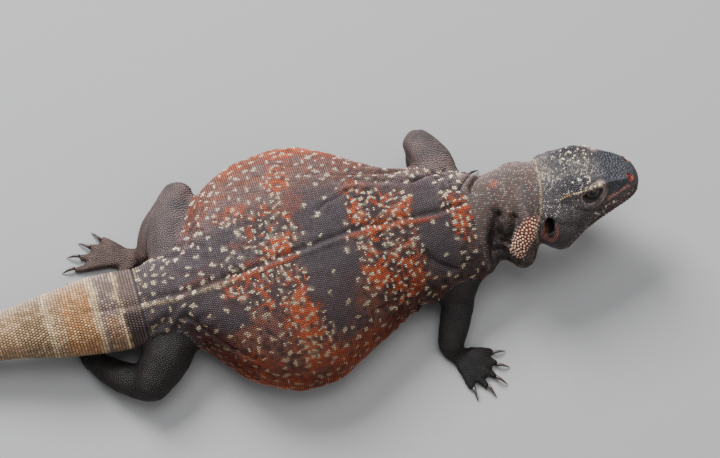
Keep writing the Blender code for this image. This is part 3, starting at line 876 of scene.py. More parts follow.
def inOpening(local):
    # in an ear, in the gap between the lids, or in a nostril
    inside = np.zeros(len(local), bool)
    for side in bothSides:
        near = local - sided("ear", side)
        ring, out = np.hypot(near[:, 0] / 2.2, near[:, 2] / 3.7), near[:, 1]
        inside |= (ring < 0.92) & (out * side < 4) & (np.abs(out) < 5)
        at, spread = eyeSpread(local, side)
        inside |= (spread < 1.12) & (at[:, 2] > 0) & (np.linalg.norm(at, axis=1) < 6)
        inside |= np.linalg.norm(local - sided("nostril", side), axis=1) < 1.5
    return inside


def browRoots():
    # the raised row along the edge of the brow
    line = np.array(headFolds[0][2])
    walked = walkedAlong(line)
    steps = np.arange(browRow["first"], walked[-1] - browRow["last"], browRow["step"])
    targets = [alongLine(steps, walked, line) * (1, side, 1) for side in bothSides]
    return onSkin(np.concatenate(targets), 2.5)


def lipRoots():
    # a row of plates above and one below the line of the mouth, on each side
    roots = []
    for side in bothSides:
        for offset, spacing in lipRows["places"]:
            x = lipRows["first"]
            while x < lipRows["last"]:
                start = placeOnHead((x, 0.0, float(curve(head["mouth"], np.array([x]))[0]) + offset))
                place = skinTree.ray_cast(start, Vector(headTurn @ (0.25, side, 0.0)), 30)[0]
                if place is not None:
                    roots.append(np.array(place))
                x += spacing * (1.0 - lipRows["closing"] * float(ease(30, 40, x)))
    return np.array(roots)


def onSkin(targets, farthest):
    # the nearest places on the skin to places in the head's frame, where they are near enough
    found = [skinTree.find_nearest(Vector(target)) for target in fromHead(targets)]
    return np.array([place for place, _, _, distance in found if distance < farthest])


def overEye(flat, lift, side):
    # a place over the eye in the head's frame, from its place in the plane of the gap
    rows = eyeFrame(side)
    return sided("eye", side) + flat @ rows[:2] + math.sqrt(max(lift**2 - flat @ flat, 1.0)) * rows[2]


def lidRoots():
    # small scales in curved rows on the lids
    targets = []
    for side in bothSides:
        for row in range(lidRings["count"]):
            half = np.array(sculptHead["opening"]) * (lidRings["first"] + lidRings["step"] * row)
            count = int(2 * math.pi * math.sqrt((half[0] ** 2 + half[1] ** 2) / 2) / scatterSizes["lids"])
            for i in range(count):
                angle = 2 * math.pi * (i + 0.5 * (row % 2)) / count
                flat = half * (math.cos(angle), math.sin(angle)) - (0, sculptHead["openingDrop"])
                targets.append(overEye(flat, sculptHead["lidLift"], side))
    return onSkin(np.array(targets), 1.6)


def withoutNear(roots, others, gap):
    tree = kdTree(others)
    return roots[[tree.find(root)[2] > gap for root in roots]]


def addHeadScales(roots, size=None, tall=None):
    # without a size, each scale takes the size and height that belong to its place
    local = toHead(roots)
    x, y, z = local.T
    plates = np.zeros(len(x), bool)
    if size is None:
        size = headSpacing(roots)
        tubercle = hump(x, 18.5, 6.5) * hump(np.abs(y), 6.5, 3.2) * ease(6, 8, z)
        tall = (0.16 + 0.13 * size) * (1 - 0.62 * ease(24, 29, x)) + 0.22 * tubercle
        plates = (size > 0.90) & (x > 22)
    size, tall = np.broadcast_to(size, len(x)), np.broadcast_to(tall, len(x))
    u, v = boxUnwrap(local, surfaceAt(roots)[1] @ headTurn, 0, 1, np.array((-4.0, -24.0, -20.0)), 48.0)
    for chosen, name in ((plates, "snout"), (~plates, "head")):
        if chosen.any():
            coat.add(roots[chosen], name, u[chosen], v[chosen], tall[chosen], -headTurn[:, 0], size[chosen])


def coverHead():
    rows = {"lips": lipRoots(), "lids": lidRoots(), "brows": browRoots()}
    free = evenScatter(isOneOf(skinLabels, headNodes), headSpacing, 3)
    free = free[~inOpening(toHead(free))]
    for name, roots in rows.items():
        free = withoutNear(free, roots, headRows[name][2])
    rows["lids"] = withoutNear(rows["lids"], rows["brows"], browClear)
    addHeadScales(relaxed(free, headSpacing(free)))
    for name, roots in rows.items():
        addHeadScales(roots, *headRows[name][:2])


def coverThroatFold():
    chosen = isOneOf(skinLabels, ("neck",) + headNodes)
    chosen[chosen] = onTubercles(vertsOf(skinMesh)[chosen])
    roots = scattered(chosen, tubercles["spacing"], 9, 0.8)
    local = toHead(roots)
    turn = np.arctan2(local[:, 1], local[:, 2]) / (2 * math.pi)
    coat.add(roots, "throat", 0.02 + 0.94 * neckShare(roots) / 1.12, turn + 0.5,
             tubercles["height"], (0.0, 0.0, -1.0), tubercles["spacing"])


def coverLimbs():
    for kind, names, group in (("limbs", limbNodes, "legs"), ("feet", footNodes, "feet")):
        sizes = scatterSizes[kind]
        for tile, name in enumerate(names):
            roots = scattered(isOneOf(skinLabels, (name,)), sizes["spacing"], 20 + tile)
            low, high = roots.min(axis=0), roots.max(axis=0)
            u, v = boxUnwrap(roots, surfaceAt(roots)[1], tile, len(names), low, (high - low).max())
            coat.add(roots, group, u, v, sizes["height"], (0.3, -0.2, -1.0), sizes["spacing"])


print("stage: scattered scales")
coverHead()
coverThroatFold()
coverLimbs()
scales = coat.table()


# each scale stays with the node it was meant for, and no two crowd each other

def keepScales(chosen):
    for name in scales:
        scales[name] = scales[name][chosen]


groupNodes = {
    "back": ("torso",), "flank_left": ("torso",), "flank_right": ("torso",), "tail": trunkNodes[:4] + ("torso",),
    "neck": ("neck",), "throat": ("neck",) + headNodes, "head": headNodes, "snout": headNodes,
    "legs": limbNodes, "feet": footNodes,
}
scaleLabels = labelsAt(scales["root"])
fits = np.zeros(len(scaleLabels), bool)
for group, names in groupNodes.items():
    fits |= (scales["group"] == group) & isOneOf(scaleLabels, names)
keepScales(fits)


def neighboursOf(roots, count):
    tree = kdTree(roots)
    return np.array([[entry[1] for entry in tree.find_n(root, count + 1)][1:] for root in roots])


near = neighboursOf(scales["root"], 1)[:, 0]
gap = np.linalg.norm(scales["root"] - scales["root"][near], axis=1)
crowded = (gap < 0.5 * scales["reach"]) & (near < np.arange(len(near)))
keepScales(~crowded)
scales["root"], scales["normal"] = surfaceAt(scales["root"])
keepScales(scales["root"][:, 2] > 0.16)
print("scales", {name: int((scales["group"] == name).sum()) for name in groupNodes})


# the markings with their painted shade and light, the same on the skin and on every scale

paint = {name: tint(code) for name, code in {
    "slate": "685a5b", "coal": "52464a", "taupe": "856e69", "brown": "5a3f2d", "rust": "87472e",
    "orange": "bd5426", "ember": "93361a", "salmon": "9a5f49", "cream": "ffe9c4", "pale": "c9bbaa", "sand": "866a49",
    "straw": "957553", "ochre": "9a6f42", "lilac": "715d54", "umber": "3a2823", "soot": "26201e", "glow": "b99e78",
    "ash": "5a5252", "blue": "3d424b", "steel": "4c4e59", "pink": "8b5f50", "bellyTan": "6e5744",
}.items()}

torsoFields = {  # x, y, half length, half width, turn, amount
    "warm": (
        (-5.0, 8.0, 11.0, 12.0, 10.0, 0.95), (-13.0, -12.0, 17.0, 8.5, -14.0, 0.95), (34.0, 5.0, 14.0, 10.5, 0.0, 0.95),
        (34.0, -12.0, 13.5, 14.0, 0.0, 1.0), (64.0, -3.0, 5.0, 11.0, 0.0, 0.85), (1.0, 29.0, 5.0, 10.0, -10.0, 0.6),
        (-21.0, 19.0, 6.0, 3.5, 0.0, 0.6), (-2.0, -29.0, 8.0, 13.0, 0.0, 0.65), (50.0, 14.0, 5.0, 3.0, 0.0, 0.5),
        (-38.0, 2.0, 14.0, 1.6, 0.0, 0.35),
    ),
    "dark": (
        (13.0, 12.0, 9.5, 13.0, 0.0, 1.0), (11.0, -16.0, 9.5, 15.0, -8.0, 1.0), (53.0, 8.0, 6.0, 10.0, 0.0, 0.95),
        (54.0, -9.0, 5.5, 12.0, 0.0, 0.95), (-34.0, -14.0, 12.0, 9.0, 0.0, 0.8), (-50.0, 0.0, 15.0, 20.0, 0.0, 0.8),
        (-29.0, 8.0, 9.0, 7.0, 0.0, 0.6),
    ),
    "hot": (
        (-3.3, 0.7, 6.0, 2.8, 16.0, 1.0), (-11.7, -0.4, 7.0, 1.8, 10.0, 0.8), (-2.5, -23.0, 3.4, 9.0, 0.0, 0.9),
        (-0.8, -31.1, 3.4, 4.0, 0.0, 0.8), (1.2, 27.4, 3.2, 3.6, 0.0, 0.9), (4.5, 16.6, 2.6, 4.8, 0.0, 0.8),
        (-15.7, 22.3, 4.6, 2.2, 0.0, 0.8), (-19.9, 6.2, 4.6, 2.0, 0.0, 0.7), (27.6, 16.4, 4.6, 2.2, 25.0, 0.8),
        (44.7, 4.4, 3.2, 5.4, 0.0, 0.9), (35.3, -1.2, 9.0, 2.6, 8.0, 1.0), (24.8, 6.4, 3.2, 3.2, 0.0, 0.7),
        (25.9, -16.5, 4.4, 3.4, 0.0, 0.9), (28.2, -21.9, 3.4, 3.6, 0.0, 0.8), (40.6, -17.4, 3.4, 2.4, 0.0, 0.8),
        (8.1, -42.2, 9.0, 4.0, 10.0, 0.8), (-22.3, -37.5, 8.0, 5.0, -20.0, 0.6), (-9.5, -43.8, 14.0, 3.4, 0.0, 0.8),
        (14.2, 41.5, 17.0, 5.0, -5.0, 0.95), (-11.5, 40.9, 9.0, 3.4, 15.0, 0.7), (64.6, -3.1, 3.2, 4.4, 0.0, 0.8),
        (-35.0, -3.5, 9.0, 1.8, 10.0, 0.6), (18.0, -38.0, 8.0, 3.0, 30.0, 0.5),
    ),
    "cool": (
        (33.3, -6.7, 3.2, 2.6, 0.0, 0.9), (-9.7, -15.4, 6.4, 2.4, 10.0, 0.8), (4.4, -30.3, 3.6, 4.6, 0.0, 0.9),
        (32.5, 6.6, 3.6, 2.6, 0.0, 0.9), (12.3, -34.5, 7.0, 2.8, 20.0, 0.8), (32.8, -27.2, 5.0, 4.0, 0.0, 0.6),
        (-18.5, -15.7, 3.4, 2.2, 0.0, 0.8), (-8.1, 12.8, 4.4, 3.0, 0.0, 0.8), (-26.5, -16.8, 5.0, 4.0, 0.0, 0.8),
        (-20.0, 13.0, 5.0, 3.0, 0.0, 0.7), (40.0, -4.6, 2.4, 2.0, 0.0, 0.9), (28.5, 10.8, 2.6, 2.0, 0.0, 0.8),
    ),
}

headMarks = {  # lines of colour on each side of the face
    "rosy": ((28.5, 10.2, 0.8), (32.0, 8.6, 1.2), (36.0, 6.8, 1.8)),
    "pale": ((13.0, 17.4, -0.4), (18.0, 16.0, -1.0), (23.0, 13.6, -2.4), (31.0, 10.0, -2.5)),
}
tailBands = (  # from the root of the tail to its tip: x where a band starts, colour
    (-59.0, "umber"), (-66.0, "glow"), (-67.6, "lilac"), (-74.6, "glow"), (-77.4, "ochre"), (-88.5, "straw"),
    (-92.6, "glow"), (-95.0, "sand"), (-104.5, "straw"), (-118.0, "sand"), (-127.0, "straw"), (-147.0, "sand"),
    (-156.0, "straw"), (-176.0, "sand"), (-184.0, "straw"), (-400.0, "straw"),
)


def layered(look, *layers):
    # colours laid over each other in turn: a name or tones, the share at each place, and at times a strength
    for colour, share, *strength in layers:
        tone = paint[colour] if isinstance(colour, str) else colour
        look = mix(look, tone * (strength or (1.0,))[0], share)
    return look


def field(x, y, row):
    placeX, placeY, halfX, halfY, turn, amount = row
    angle = math.radians(turn)
    dx, dy = x - placeX, y - placeY
    along = dx * math.cos(angle) + dy * math.sin(angle)
    across = dy * math.cos(angle) - dx * math.sin(angle)
    return amount * ease(1.28, 0.80, np.hypot(along / halfX, across / halfY))


def torsoLook(points):
    # how warm, dark, fiery and cool the back and flanks are at each place
    x, y = (points[:, i] + noise(points, 7.0, 31 + 2 * i) * 2.8 + noise(points, 2.4, 32 + 2 * i) * 1.6 for i in (0, 1))
    warm, dark, hot, cool = (np.max([field(x, y, row) for row in rows], axis=0) for rows in torsoFields.values())
    return warm * (1 - 0.85 * dark * ease(0.4, 0.8, dark - warm * 0.5)), dark, hot, cool


def torsoGround(points, normals):
    fields = warm, dark, hot, cool = torsoLook(points)
    x, up = points[:, 0], normals[:, 2]
    near, far = ease(-8.0, -26.0, points[:, 1]), ease(10.0, 26.0, points[:, 1])
    low, under = ease(0.62, 0.12, up), ease(0.0, -0.55, up)
    net = patches(points, 2.6, 41)
    rim = blend(ease(0.75, 0.25, up), ease(0.90, 0.60, up), far) * ease(-48, -34, x) * ease(44, 30, x)
    ground = layered(
        paint["slate"],
        (mix(paint["taupe"], paint["rust"], 0.20 + 0.25 * net), far * 0.85),
        ("salmon", far * ease(0.42, 0.70, net) * 0.65 * ease(-38, -26, x) * ease(44, 32, x)),
        ("rust", near * (0.30 + 0.6 * net) * ease(-42, -32, x) * ease(46, 34, x)),
        ("brown", near * 0.5 * ease(24, 38, x)),
        ("coal", np.clip(dark * 0.85 + cool * 0.8, 0, 1) * (1 - 0.5 * far)),
        (mix(paint["ember"], paint["orange"] * 0.75, far), rim * (0.40 + 0.50 * net)),
    )
    # painted shade: the far flank is darker where it turns away from the top
    ground = ground * (1 - 0.50 * far * ease(0.90, 0.55, up))[:, None]
    ground = ground * (1 + 0.60 * near * ease(-36, -46, x))[:, None]
    belly = mix(paint["bellyTan"], paint["brown"], patches(points, 5.0, 43))
    ground = layered(ground, ("orange", np.clip(warm * 0.20 + hot * 0.30, 0, 0.5)), (belly, under))
    return ground, fields, (near, far, low, under)


def tailLook(points, normals, roll):
    place, up = points[:, 0], normals[:, 2]
    across = points[:, 1] - curve(midline, place)
    top, near = ease(-0.2, 0.6, up), ease(-1.0, -5.0, across)
    x = place + noise(points, 6.0, 51) * 0.9 + noise(points, 1.6, 52) * 0.5 - 1.2 * hump(across, 0, 2.2) * top
    firstBand = ease(-66.6, -65.4, x)
    gold = ease(0.25, 0.6, noise(points, 2.6, 53)) * ease(-77, -79, x) * ease(-90, -87, x)
    behind = ease(-66, -70, place)
    look = layered(
        paint[tailBands[0][1]],
        *((name, ease(start + 0.8, start - 0.8, x)) for start, name in tailBands[1:]),
        ("lilac", firstBand * (1 - near) * 0.75, 0.9),
        ("umber", firstBand * near * ease(-14.0, -9.0, across) * 0.6, 0.55),
        ("ochre", ease(-67, -69, x) * ease(-74, -72, x) * near * 0.55),
        (mix(paint["ochre"], paint["orange"], 0.35), gold * top * 0.45, 1.25),
        ("umber", hump(across, 0, 1.1) * ease(-86, -72, place) * top * 0.5),
    ) * (0.72 + 0.50 * roll[:, None])
    # painted light on the far-facing side of the tail, and painted shade on its near side
    look = layered(
        look, ("cream", ease(0.55, 0.95, roll) * behind * 0.13),
        ("pale", ease(0.2, 0.9, normals[:, 1]) * ease(-66, -80, place) * 0.30),
    ) * (1 - 0.34 * ease(-3.0, -12.0, across) * behind)[:, None]
    return layered(look, ("sand", ease(0.2, -0.7, up) * 0.6, 0.7))


def openingLook(look, local, roll, side):
    # the colours round one ear, nostril and eye, with painted shade inside the ear, in the nostril and between the lids
    # and the ball
    near = local - sided("ear", side)
    ring = np.hypot(near[:, 0] / 2.4, near[:, 2] / 3.9)
    outer = np.abs(near[:, 1]) < 6
    far = np.linalg.norm(local - sided("nostril", side), axis=1)
    upper = ease(-1.4, 0.2, local[:, 1] * side - head["nostril"][1])
    at, spread = eyeSpread(local, side)
    closeBy = ease(7.0, 6.0, np.linalg.norm(at, axis=1)) * (at[:, 2] > 0)
    return layered(
        look,
        (mix(paint["rust"], paint["ember"], roll),
         hump(ring, 1.24, 0.18) * outer * ease(1.5, -1.5, near[:, 2]) * 0.55, 0.9),
        # painted shade inside the ear, turning rusty towards the back
        (mix(paint["umber"] * 0.25, paint["rust"] * 0.55, ease(0.2, -1.6, near[:, 0])), ease(1.05, 0.85, ring) * outer),
        ("ember", ease(2.2, 1.6, far) * upper * (0.85 if side < 0 else 0.3), 0.8),
        # painted shade in the nostril's hole
        ("umber", ease(1.15, 0.75, far), 0.12),
        # the lid folds are painted darker in their troughs and lighter on their crests, as shade and light
        (mix(paint["ash"] * 0.35, paint["taupe"] * 0.9, 0.5 + 0.5 * lidWave(spread)),
         closeBy * ease(2.05, 1.8, spread)),
        ("pink", hump(spread, 2.1, 0.17) * closeBy * (at[:, 1] < -0.3) * 0.6),
        # painted shade on the inner wall between the lids and the ball
        ("soot", ease(1.10, 1.00, spread) * closeBy, 0.8),
    )


def headLook(points, normals, roll):
    local = toHead(points)
    x, y, z = local.T
    side, above = np.abs(y), z - curve(head["mouth"], x)
    facing = (normals @ headTurn)[:, 2]
    patch = patches(points, 3.0, 61)
    crown = ease(0.35, 0.75, facing) * ease(27, 22, x) * ease(9.5, 5.5, side)
    look = layered(
        paint["ash"],
        (mix(paint["pale"] * 0.42, paint["steel"] * 0.62, patch), crown * 0.75),
        ("steel", hump(x, 17, 7.5) * hump(side, 8.0, 3.4) * ease(6.0, 8, z) * 0.85, 0.42),
        ("blue", ease(20 + 5 * patch, 26 + 5 * patch, x) * ease(-2.5, 2.5, z) * 0.90, 0.42),
        # painted shade over the lower face and the lower snout
        ("umber", ease(6, -2, z) * ease(34, 26, x) * (0.60 + 0.35 * patch), 0.45),
        ("umber", ease(3, 0, z) * ease(22, 28, x) * 0.8),
    ) * (0.34 + 0.98 * roll[:, None] ** 1.3)
    raised = ease(6.5, 8.5, z)
    bumps = hump(x, 20.0, 6.0) * hump(y, 6.4, 3.6) * raised
    few = hump(x, 20.0, 4.5) * hump(y, -8.0, 2.0) * raised
    brow, furrow, cheek, rosy, pale = (
        lineDistance(mirroredOnHead(local), line)
        for line in (*(fold[2] for fold in headFolds[:3]), headMarks["rosy"], headMarks["pale"]))
    crest = ease(1.0, 0.6, brow) * ease(9.0, 12.0, x) * ease(27.5, 25.5, x)
    look = layered(
        look,
        ("pale", (roll > 0.90) * ease(24, 17, x) * ease(1, 4, z) * 0.45, 0.8),
        ("pale", (roll > 0.70) * (patches(points, 1.1, 63) > 0.48) * crown * 0.65, 0.62),
        ("cream", ((roll + bumps * 0.16 > 0.98) & (bumps > 0.2)) * 0.85, 0.8),
        ("cream", ((roll > 0.80) & (few > 0.35)) * 0.6),
        # painted shadow under the brow and painted shade in the groove of the cheek
        ("soot", ease(1.1, 0.5, furrow) * (crest < 0.3) * 0.85, 0.6),
        ("soot", ease(1.0, 0.4, cheek) * 0.75),
        ("pink", ease(1.1, 0.3, rosy) * (0.30 + 0.45 * roll), 1.1),
        ("pale", ease(1.3, 0.6, pale) * (roll > 0.72) * ease(2.4, 1.2, np.abs(above - 1.8)) * 0.6, 0.8),
        (mix(paint["umber"] * 0.8, paint["taupe"] * 0.6, ease(0.6, 1.0, roll)),
         ease(2.0, 1.2, np.abs(above)) * ease(8, 12, x) * 0.85),
        # painted shade under the chin, where the skin faces down
        ("coal", ease(-6.0, -9.5, z) * ease(0.1, -0.3, facing) * 0.8, 0.8),
    )
    for hand in bothSides:
        look = openingLook(look, local, roll, hand)
    crestTone = mix(paint["sand"] * 0.8, paint["cream"] * 0.9, (0.35 + 0.65 * roll) * ease(13, 19, x))
    return mix(look, crestTone, crest * (0.15 + 0.75 * (roll > 0.36)))


def neckLook(points, _, roll):
    share, local = neckShare(points), toHead(points)
    low = 0.5 - np.arctan2(local[:, 2], np.abs(local[:, 1]) + 0.01) / math.pi
    start = ease(0.24, 0.0, share) * ease(0.66, 0.38, low)
    spot = hump(points, np.array((78.5, 3.5, 39.5)), np.array((1.6, 1.2, 3.0))).prod(axis=1)
    cone = ease(tubercles["width"], tubercles["width"] * 0.6, lineDistance(points, tubercles["line"]))
    pouch = ease(0.55, 0.62, share) * ease(0.62, 0.72, low)
    look = mix(paint["ash"], paint["lilac"] * 0.9, patches(points, 4.0, 71)) * (0.66 + 0.62 * roll[:, None])
    look = layered(
        look,
        ("pale", (roll > 0.82) * 0.45), ("salmon", ((roll > 0.10) & (roll < 0.24)) * 0.5, 0.8),
        ("taupe", ease(-1.0, 6.0, local[:, 1]) * 0.35),
        ("cream", start * (roll > 0.48) * 0.95), ("orange", start * (roll < 0.30) * 0.8),
        ("orange", spot * 0.8, 1.1), (mix(paint["orange"] * 0.85, paint["brown"], 0.3), cone * 0.9),
        ("brown", pouch * (1 - cone) * 0.7, 0.8), ("pale", pouch * (roll > 0.93) * 0.8),
    )
    # painted shade in the creases of the neck's folds, strongest low on the neck
    for width, height, line in neckFolds:
        if height < 0:
            inside = ease(width * 0.9 - height * 0.8, width * 0.3 - height * 0.6, lineDistance(points, line))
            look = layered(look, ("soot", inside * (0.15 + 0.70 * ease(0.36, 0.56, low)), 0.5))
    past = neckReach(local) - local[:, 0]
    lip = ease(0.62, 0.34, np.abs(past - 0.8)) * ease(0.8, 0.5, low)
    edge = mix(paint["sand"], paint["cream"], ease(0.2, 0.9, roll) * 0.7)
    # painted shade on the underside of the neck
    return layered(look, ("coal", ease(0.72, 0.95, low) * 0.6), (edge, lip * 0.7))


def limbLook(points, _, roll):
    # the near limbs are painted darker as shade and the far limbs lighter as light
    farSide = ease(2.0, 14.0, points[:, 1])
    look = layered(
        mix(paint["soot"], paint["brown"] * 0.55, patches(points, 5.0, 81)),
        (mix(paint["ash"], paint["taupe"], patches(points, 4.0, 82)), farSide * 0.85),
        ("brown", ease(12.0, 6.0, points[:, 2]) * farSide * 0.5),
    ) * (0.78 + 0.44 * roll[:, None]) * (0.24 + 0.76 * farSide[:, None])
    return layered(look, ("taupe", (roll > 0.96) * farSide * 0.35, 0.7))


creamGroups = {
    "warmGap": 1.75,  # between the middles of two groups on the warm patches
    "otherGap": 3.0,
    "bareGap": 2.6,  # how much farther apart they are on the dark bands
    "chanceGap": 1.3,
    "cell": 6.0,
    "size": (0.44, 0.28, 0.26),  # the least, and what chance and a cool ground add
    "shift": (0.15, 0.35),
    "stretch": (1.45, 0.86),  # along and across
}


def creamSeeds():
    # where the groups of cream scales sit, small and close on the warm patches, larger and farther apart elsewhere
    onTorso = np.isin(scales["group"], ("back", "flank_left", "flank_right"))
    roots, normals = scales["root"][onTorso], scales["normal"][onTorso]
    draw = np.random.default_rng(12)
    warm, dark, _, _ = torsoLook(roots)
    bare = dark * (roots[:, 0] > -38)
    want = np.clip((0.30 + 0.70 * warm - 0.25 * bare) * (1 - 0.8 * ease(0.1, -0.4, normals[:, 2])), 0.004, 1.0)
    gap = np.where(warm > 0.5, creamGroups["warmGap"], creamGroups["otherGap"])
    gap = gap + creamGroups["chanceGap"] * draw.random(len(roots))
    gap += creamGroups["bareGap"] * (bare > 0.6) - 0.4 * (roots[:, 0] < -40)
    kept, grid = [], {}
    for i in draw.permutation(len(roots)):
        if draw.random() > want[i]:
            continue
        cell = np.floor(roots[i] / creamGroups["cell"]).astype(int)
        near = [j for step in np.ndindex(3, 3, 3) for j in grid.get(tuple(cell + step - 1), ())]
        if near and np.linalg.norm(roots[near] - roots[i], axis=1).min() < gap[i]:
            continue
        grid.setdefault(tuple(cell), []).append(i)
        kept.append(i)
    least, chance, cool = creamGroups["size"]
    size = least + chance * draw.random(len(kept)) ** 1.3 + cool * (1 - warm[kept]) * draw.random(len(kept)) ** 0.7
    angle = draw.random(len(kept)) * math.pi
    across = normals[kept]
    way = np.stack([np.cos(angle), np.sin(angle), np.zeros(len(kept))], axis=1)
    way -= across * (way * across).sum(axis=1)[:, None]
    way /= np.linalg.norm(way, axis=1)[:, None]
    near, far = creamGroups["shift"]
    return roots[kept] + way * (near + far * draw.random(len(kept)))[:, None], size, way


creamPlaces, creamSize, creamWay = creamSeeds()
creamTree = kdTree(creamPlaces)


def creamAt(points):
    # each group is a little longer one way than the other
    found = np.full(len(points), 9.0)
    length, width = creamGroups["stretch"]
    for i, point in enumerate(points):
        for _, number, distance in creamTree.find_n(Vector(point), 2):
            away = point - creamPlaces[number]
            along = abs(float(away @ creamWay[number]))
            side = math.sqrt(max(distance * distance - along * along, 0.0))
            found[i] = min(found[i], math.hypot(along / length, side / width) / creamSize[number])
    return ease(1.10, 0.98, found * (1 + 0.42 * noise(points, 0.9, 44)))


def torsoPaint(points, normals, roll):
    ground, (warm, dark, hot, cool), (near, far, low, under) = torsoGround(points, normals)
    x = points[:, 0]
    across = points[:, 1] - curve(midline, x)
    flecks, threads = patches(points, 1.3, 48), np.abs(noise(points, 1.9, 45))
    weave = roll * 0.26 + threads * 0.85 + patches(points, 4.0, 47) * 0.30
    weave -= warm * 0.44 + hot * 0.24 - cool * 0.40 + low * 0.12
    weave -= (near * 0.26 + far * 0.22) * ease(-38, -28, x) * (1 - dark * 0.8)
    fire = layered(
        mix(paint["orange"], paint["ember"], patches(points, 3.0, 46)),
        ("orange", hot * 0.6, 1.15), ("salmon", far * (1 - hot) * 0.5),
    ) * (0.76 + 0.98 * roll[:, None])
    ridge, valley = hump(across, -0.8, 0.8), hump(across, 1.4, 1.1) * ease(-56, -40, x)
    ridgeWarm = ridge * np.clip(ease(-32, -22, x) * ease(4, -2, x) + ease(17, 24, x) * ease(60, 48, x), 0, 1)
    ridgePale = ridge * (ease(-22, -28, x) * ease(-40, -34, x) + ease(-42, -46, x) * 0.9)
    look = layered(
        ground * (0.76 + 0.66 * roll[:, None]),
        (mix(paint["salmon"], paint["orange"], low), near * (1 - dark) * ease(0.58, 0.78, flecks) * 0.45),
        ("umber", (1 - 0.5 * far) * (1 - dark) * ease(0.42, 0.26, flecks) * 0.75, 0.7),
        (fire, ease(0.03, -0.03, weave) * np.clip(0.55 + 0.5 * warm + 0.3 * hot, 0, 1)),
        ("coal", ease(0.04, 0.12, weave) * warm * 0.75, 0.45),
        ("orange", ridgeWarm * 0.9, 1.1), ("glow", np.clip(ridgePale * 1.2, 0, 1) * (roll > 0.35) * 0.8, 1.2),
        # painted shade in the furrow beside the midline
        ("umber", valley * 0.75, 0.7),
        # painted shade in the creases of the flank's folds
        *(("brown", ease(width * 1.2, width * 0.3, lineDistance(points, line)) * 0.40, 0.8)
          for width, height, line in flankFolds if height < 0),
    )
    collar = hump(x, -57.6 - 0.4 * noise(points, 3.0, 49), 0.75) * ease(-0.15, 0.25, noise(points, 2.2, 50))
    spot = layered(
        paint["cream"], ("pale", far * 0.6), ("glow", near * ease(20, 0, x + 0.6 * points[:, 1]) * 0.55),
        ("glow", ease(-40, -48, x) * 0.45),
    ) * (0.90 + 0.14 * roll[:, None])
    return layered(
        look, ("glow", collar * (1 - under) * (roll > 0.3) * 0.7),
        (spot, creamAt(points) * (1 - 0.9 * under) * (0.97 - 0.15 * low)),
    )


def markingsAndShading(points, normals, labels, roll):
    look = np.zeros((len(points), 3))
    for names, painter in (
        (("torso",), torsoPaint), (trunkNodes[:4], tailLook), (headNodes, headLook),
        (("neck",), neckLook), (limbNodes + footNodes, limbLook),
    ):
        chosen = isOneOf(labels, names)
        if chosen.any():
            look[chosen] = painter(points[chosen], normals[chosen], roll[chosen])
    return np.clip(look, 0.0, 1.0)


def setMarkings(mesh, colours):
    layer = mesh.attributes.new("markingsAndShading", "FLOAT_COLOR", "POINT")
    full = np.ones((len(colours), 4))
    full[:, :3] = colours
    layer.data.foreach_set("color", full.ravel())


# materials: markings and painted shade from the mesh, with fine grain over them

def addNode(tree, kind, values=(), **settings):
    node = tree.nodes.new(kind)
    for name, value in settings.items():
        setattr(node, name, value)
    for name, value in dict(values).items():
        node.inputs[name].default_value = value
    return node


def wire(tree, *links):
    for source, output, target, socket in links:
        tree.links.new(source.outputs[output], target.inputs[socket])


def newMaterial(name, values):
    made = bpy.data.materials.new(name)
    made.use_nodes = True
    shader = made.node_tree.nodes["Principled BSDF"]
    for socket, value in values.items():
        shader.inputs[socket].default_value = value
    return made, made.node_tree, shader


def grainGroup():
    group = bpy.data.node_groups.new("scaleGrain", "ShaderNodeTree")
    for name, kind, way in (
        ("Colour", "NodeSocketColor", "INPUT"), ("Grain", "NodeSocketFloat", "INPUT"),
        ("Dry", "NodeSocketFloat", "INPUT"), ("Colour", "NodeSocketColor", "OUTPUT"),
        ("Roughness", "NodeSocketFloat", "OUTPUT"), ("Height", "NodeSocketFloat", "OUTPUT"),
    ):
        group.interface.new_socket(name, in_out=way, socket_type=kind)
    inside, out, place = (addNode(group, kind) for kind in ("NodeGroupInput", "NodeGroupOutput", "ShaderNodeTexCoord"))
    fine = addNode(group, "ShaderNodeTexNoise", {"Detail": 3.0})
    broad = addNode(group, "ShaderNodeTexNoise", {"Scale": 260.0})
    lighten = addNode(group, "ShaderNodeMapRange", {"To Min": 0.78, "To Max": 1.22})
    rough = addNode(group, "ShaderNodeMapRange", {"From Min": 0.25, "From Max": 0.75, "To Min": 0.0, "To Max": 0.22})
    shade = addNode(group, "ShaderNodeVectorMath", operation="SCALE")
    dry = addNode(group, "ShaderNodeMath", operation="ADD")
    wire(
        group,
        (inside, "Grain", fine, "Scale"), (place, "Object", fine, "Vector"), (place, "Object", broad, "Vector"),
        (fine, "Fac", lighten, "Value"), (inside, "Colour", shade, 0), (lighten, "Result", shade, "Scale"),
        (shade, "Vector", out, "Colour"), (broad, "Fac", rough, "Value"), (rough, "Result", dry, 0),
        (inside, "Dry", dry, 1), (dry, "Value", out, "Roughness"), (fine, "Fac", out, "Height"),
    )
    return group


grain = grainGroup()


def skinMaterial(name, grainSize, dryness, depth, specular=0.45, code=None, strength=0.6):
    # the piece's own markings and painted shade, or one colour, broken up by fine grain
    made, tree, shader = newMaterial(name, {"Specular IOR Level": specular})
    effect = addNode(tree, "ShaderNodeGroup", {"Grain": grainSize, "Dry": dryness}, node_tree=grain)
    relief = addNode(tree, "ShaderNodeBump", {"Distance": depth * mm, "Strength": strength})
    if code:
        effect.inputs["Colour"].default_value = (*tint(code), 1.0)
    else:
        wire(tree, (addNode(tree, "ShaderNodeAttribute", attribute_name="markingsAndShading"), "Color", effect, "Colour"))
    wire(
        tree, (effect, "Colour", shader, "Base Color"), (effect, "Roughness", shader, "Roughness"),
        (effect, "Height", relief, "Height"), (relief, "Normal", shader, "Normal"),
    )
    return made


